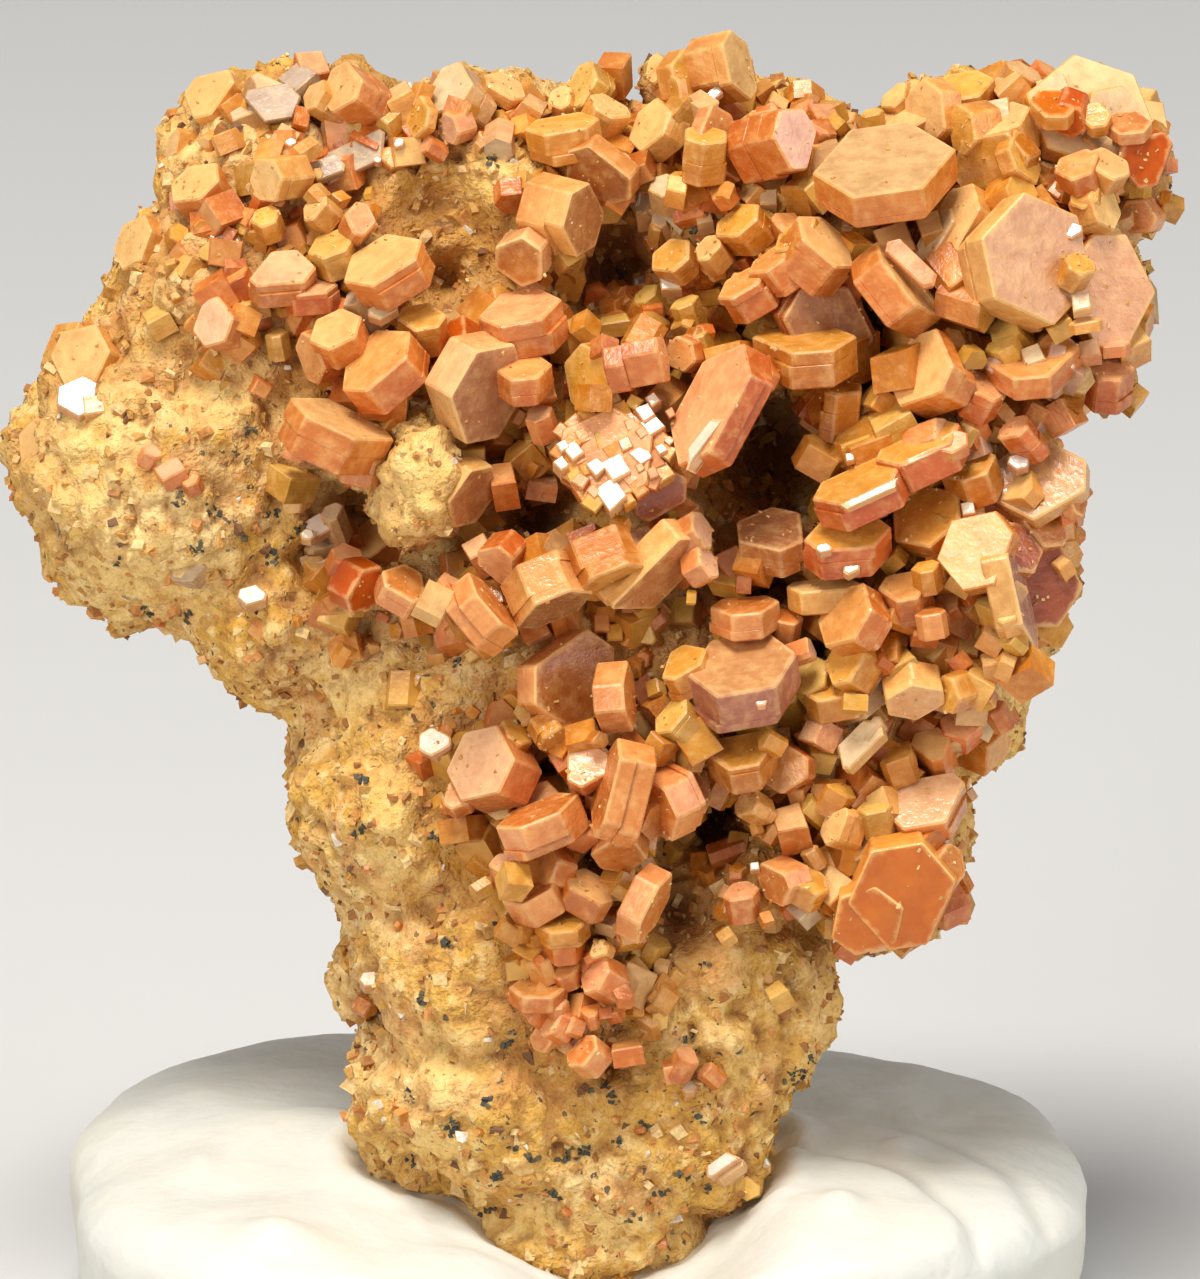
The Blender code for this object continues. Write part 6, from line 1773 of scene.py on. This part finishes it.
@dataclass
class Crumbs:
    """The crumbs and small grains that cover the rock."""

    rock: OchreRock
    crystals: SmallCrystals
    front: int = 5600
    dusting: int = 1400
    around: int = 4800
    smallest: float = 0.12
    largest: float = 0.52
    dust_sizes: tuple[float, float] = (0.05, 0.15)
    speck_sizes: tuple[float, float] = (0.1, 0.23)
    speck_tints: tuple[Colour, ...] = ((0.055, 0.055, 0.042), (0.09, 0.088, 0.062), (0.16, 0.13, 0.07))
    seed: int = 21

    @staticmethod
    def chip(skin: Skin, place: Matrix, tint: Colour, rng: random.Random) -> None:
        """Adds an irregular block, its corners pushed about at random."""
        corners = [place @ (Vector(corner) * rng.uniform(0.62, 1.12) + scattered(rng, 0.13))
                   for corner in itertools.product((-0.5, 0.5), repeat=3)]
        first = skin.add_points(corners)[0]
        for face in ((0, 1, 3, 2), (4, 6, 7, 5), (0, 4, 5, 1), (2, 3, 7, 6), (0, 2, 6, 4), (1, 5, 7, 3)):
            skin.add_face([first + corner for corner in face], varied(tint, rng, 0.06), (0.3,) * 4, (0.0,) * 4)

    @staticmethod
    def turned(point: Vector, normal: Vector, size: float, rng: random.Random) -> Matrix:
        """Places a chip of about the given size on a surface, turned at random."""
        turn = Matrix.Rotation(rng.uniform(0, math.tau), 4, any_way(rng))
        stretch = Matrix.Diagonal((size, size * rng.uniform(0.6, 1.0), size * rng.uniform(0.35, 0.7), 1.0))
        return Matrix.Translation(point - normal * size * 0.1) @ turn @ stretch

    def sizes(self, rng: random.Random) -> float:
        """A crumb's size: many small, few large."""
        return self.smallest + (self.largest - self.smallest) * rng.random() ** 2.6

    def build(self, finish: bpy.types.Material) -> list[bpy.types.Object]:
        """Scatters the crumbs and makes them.

        Args:
            finish: Their material.

        Returns:
            The pieces.
        """
        rng = random.Random(self.seed)
        kinds = [kind for kind in CrumbKind for _ in range(kind.value[1])]
        mesh = self.rock.mesh
        areas = np.zeros(len(mesh.polygons), np.float64)
        mesh.polygons.foreach_get("area", areas)
        shares = np.cumsum(areas) / areas.sum()
        made = []
        for name, count, facing in (("face_crumbs", self.front, True), ("side_crumbs", self.around, False)):
            skin = Skin()
            while len(skin.points) < count * 8:
                face = mesh.polygons[int(np.searchsorted(shares, rng.random()))]
                if (face.normal.z > 0.15) != facing:
                    continue
                point = face.center + scattered(rng, 0.1)
                size = self.sizes(rng)
                if facing and self.crystals.buried(point, size):
                    continue
                self.chip(skin, self.turned(point, face.normal, size, rng), rng.choice(kinds).value[0], rng)
            made.append(skin.build(name, finish, "ochre_matrix"))
        made.append(self.build_specks(finish))
        made.append(self.build_dusting(finish, rng))
        return made

    def build_dusting(self, finish: bpy.types.Material, rng: random.Random) -> bpy.types.Object:
        """The little grains that have settled or grown on the large crystals, thickest about their feet."""
        skin = Skin()
        kinds = (CrumbKind.CREAM, CrumbKind.OCHRE, CrumbKind.ORANGE)
        while len(skin.points) < self.dusting * 8:
            crystal = rng.choice(self.crystals.large)
            place = crystal.axes()
            angle, out = rng.uniform(0, math.tau), math.sqrt(rng.random())
            reach = crystal.across * 0.4 * out
            level = crystal.thick / 2 if out < 0.97 else rng.uniform(-0.5, 0.5) * crystal.thick
            point = place @ Vector((math.cos(angle) * reach, math.sin(angle) * reach, level))
            self.chip(skin, self.turned(point, crystal.outward(), rng.uniform(*self.dust_sizes), rng),
                      rng.choice(kinds).value[0], rng)
        return skin.build("crystal_dusting", finish, "ochre_matrix")

    def build_specks(self, finish: bpy.types.Material) -> bpy.types.Object:
        """The black specks: little knots of dark grains on the bare rock."""
        rng = random.Random(self.seed + 1)
        skin = Skin()
        for u, v in BLACK_SPECKS:
            for _ in range(rng.randint(4, 8)):
                point, normal = self.rock.hit(u + rng.gauss(0, 0.13), v + rng.gauss(0, 0.1))
                if point is not None:
                    place = self.turned(point + normal * 0.03, normal, rng.uniform(*self.speck_sizes), rng)
                    self.chip(skin, place, rng.choice(self.speck_tints), rng)
        return skin.build("black_specks", finish, "ochre_matrix")


@dataclass
class SparklingMosaic:
    """The plate that is paved with small square facets, the bright ones standing a little proud: they are painted
    highlights in near-white and pale pink, and the white ones are also turned to catch the overhead light.
    """

    shaper: TabletShaper
    plate: Crystal = Crystal(Tone.TAN, 0.4, 25.85, 6.75, 3.9, 1.0, 97, 18)
    turn: float = 34.0
    pitch: float = 0.47
    rows: int = 5
    paved: tuple[float, float] = (1.95, 1.7)
    seed: int = 5

    def facet(self, u: float, v: float, width: float, lift: float, tone: Tone, rng: random.Random) -> Crystal:
        """One facet, lying in the plate."""
        out = self.plate.outward()
        swing, tilt = (1.0, 28) if tone is Tone.WHITE else (4.0, 14)
        drop = (out.x * (u - self.plate.u) + out.y * (v - self.plate.v)) / out.z
        return Crystal(tone, u, v, self.plate.d - drop + lift, width, 0.6,
                       self.plate.lean + rng.uniform(-6, 6) * swing, tilt + rng.uniform(-2.5, 2.5) * swing,
                       self.turn + rng.uniform(-9, 9))

    def build(self, finish: bpy.types.Material) -> bpy.types.Object:
        """Makes the facets.

        Args:
            finish: Their material.

        Returns:
            The piece.
        """
        rng = random.Random(self.seed)
        skin = Skin()
        across, along = (Vector((math.cos(a), math.sin(a)))
                         for a in (math.radians(self.turn), math.radians(self.turn + 90.0)))
        tones = (Tone.OCHRE, Tone.PINK, Tone.TAN, Tone.AMBER, Tone.PALE, Tone.TAN)
        for row, column in itertools.product(range(-self.rows, self.rows + 1), repeat=2):
            spot = across * self.pitch * column + along * self.pitch * row
            tone = rng.choice(tones)
            lift, width = rng.uniform(-0.2, 0.0), self.pitch * rng.uniform(1.2, 1.7)
            if away(spot.x, spot.y, (0.0, 0.0, *self.paved)) < 1.0:
                grain = self.facet(self.plate.u + spot.x, self.plate.v + spot.y, width, lift, tone, rng)
                self.shaper.grow_small(grain, skin, True)
        for u, v, width in MOSAIC:
            # Painted highlights: the listed facets are painted near-white or pale pink glints.
            tone = Tone.WHITE if width > 0.5 and v < 27.0 or rng.random() < 0.3 else Tone.SHELL
            self.shaper.grow_small(self.facet(u, v, width * 1.12, rng.uniform(0.08, 0.14), tone, rng), skin, True)
        return skin.build("mosaic_facets", finish, "pale_vanadinite")


def main() -> None:
    """Builds the studio, then the specimen piece by piece."""
    logging.basicConfig(level=logging.INFO, format="%(message)s")
    effects = Effects()
    Studio().build(effects)
    finishes = {finish.name: finish.build(effects) for finish in (
        CrystalFinish("vanadinite"),
        CrystalFinish("pale_vanadinite", roughness=0.28),
        CrystalFinish("deep_orange_vanadinite", dust_and_edge_highlight_share=0.5, roughness=0.26),
    )}
    rock = OchreRock([crystal for group in CRYSTAL_GROUPS.values() for crystal in group])
    pieces = [rock.build(RockFinish().build(effects))]
    pieces += CrystalGroups().build(finishes)
    small = SmallCrystals(rock, TabletShaper(seed=91))
    pieces += small.build(finishes["vanadinite"])
    pieces.append(SparklingMosaic(TabletShaper(seed=15)).build(finishes["pale_vanadinite"]))
    pieces += Crumbs(rock, small).build(CrumbFinish("ochre_crumbs").build(effects))
    pieces.append(MineralTack(rock).build(TackFinish().build(effects)))
    for piece in pieces:
        LOG.info("%s: %d faces", piece.name, len(piece.data.polygons))


if __name__ == "__main__":
    main()
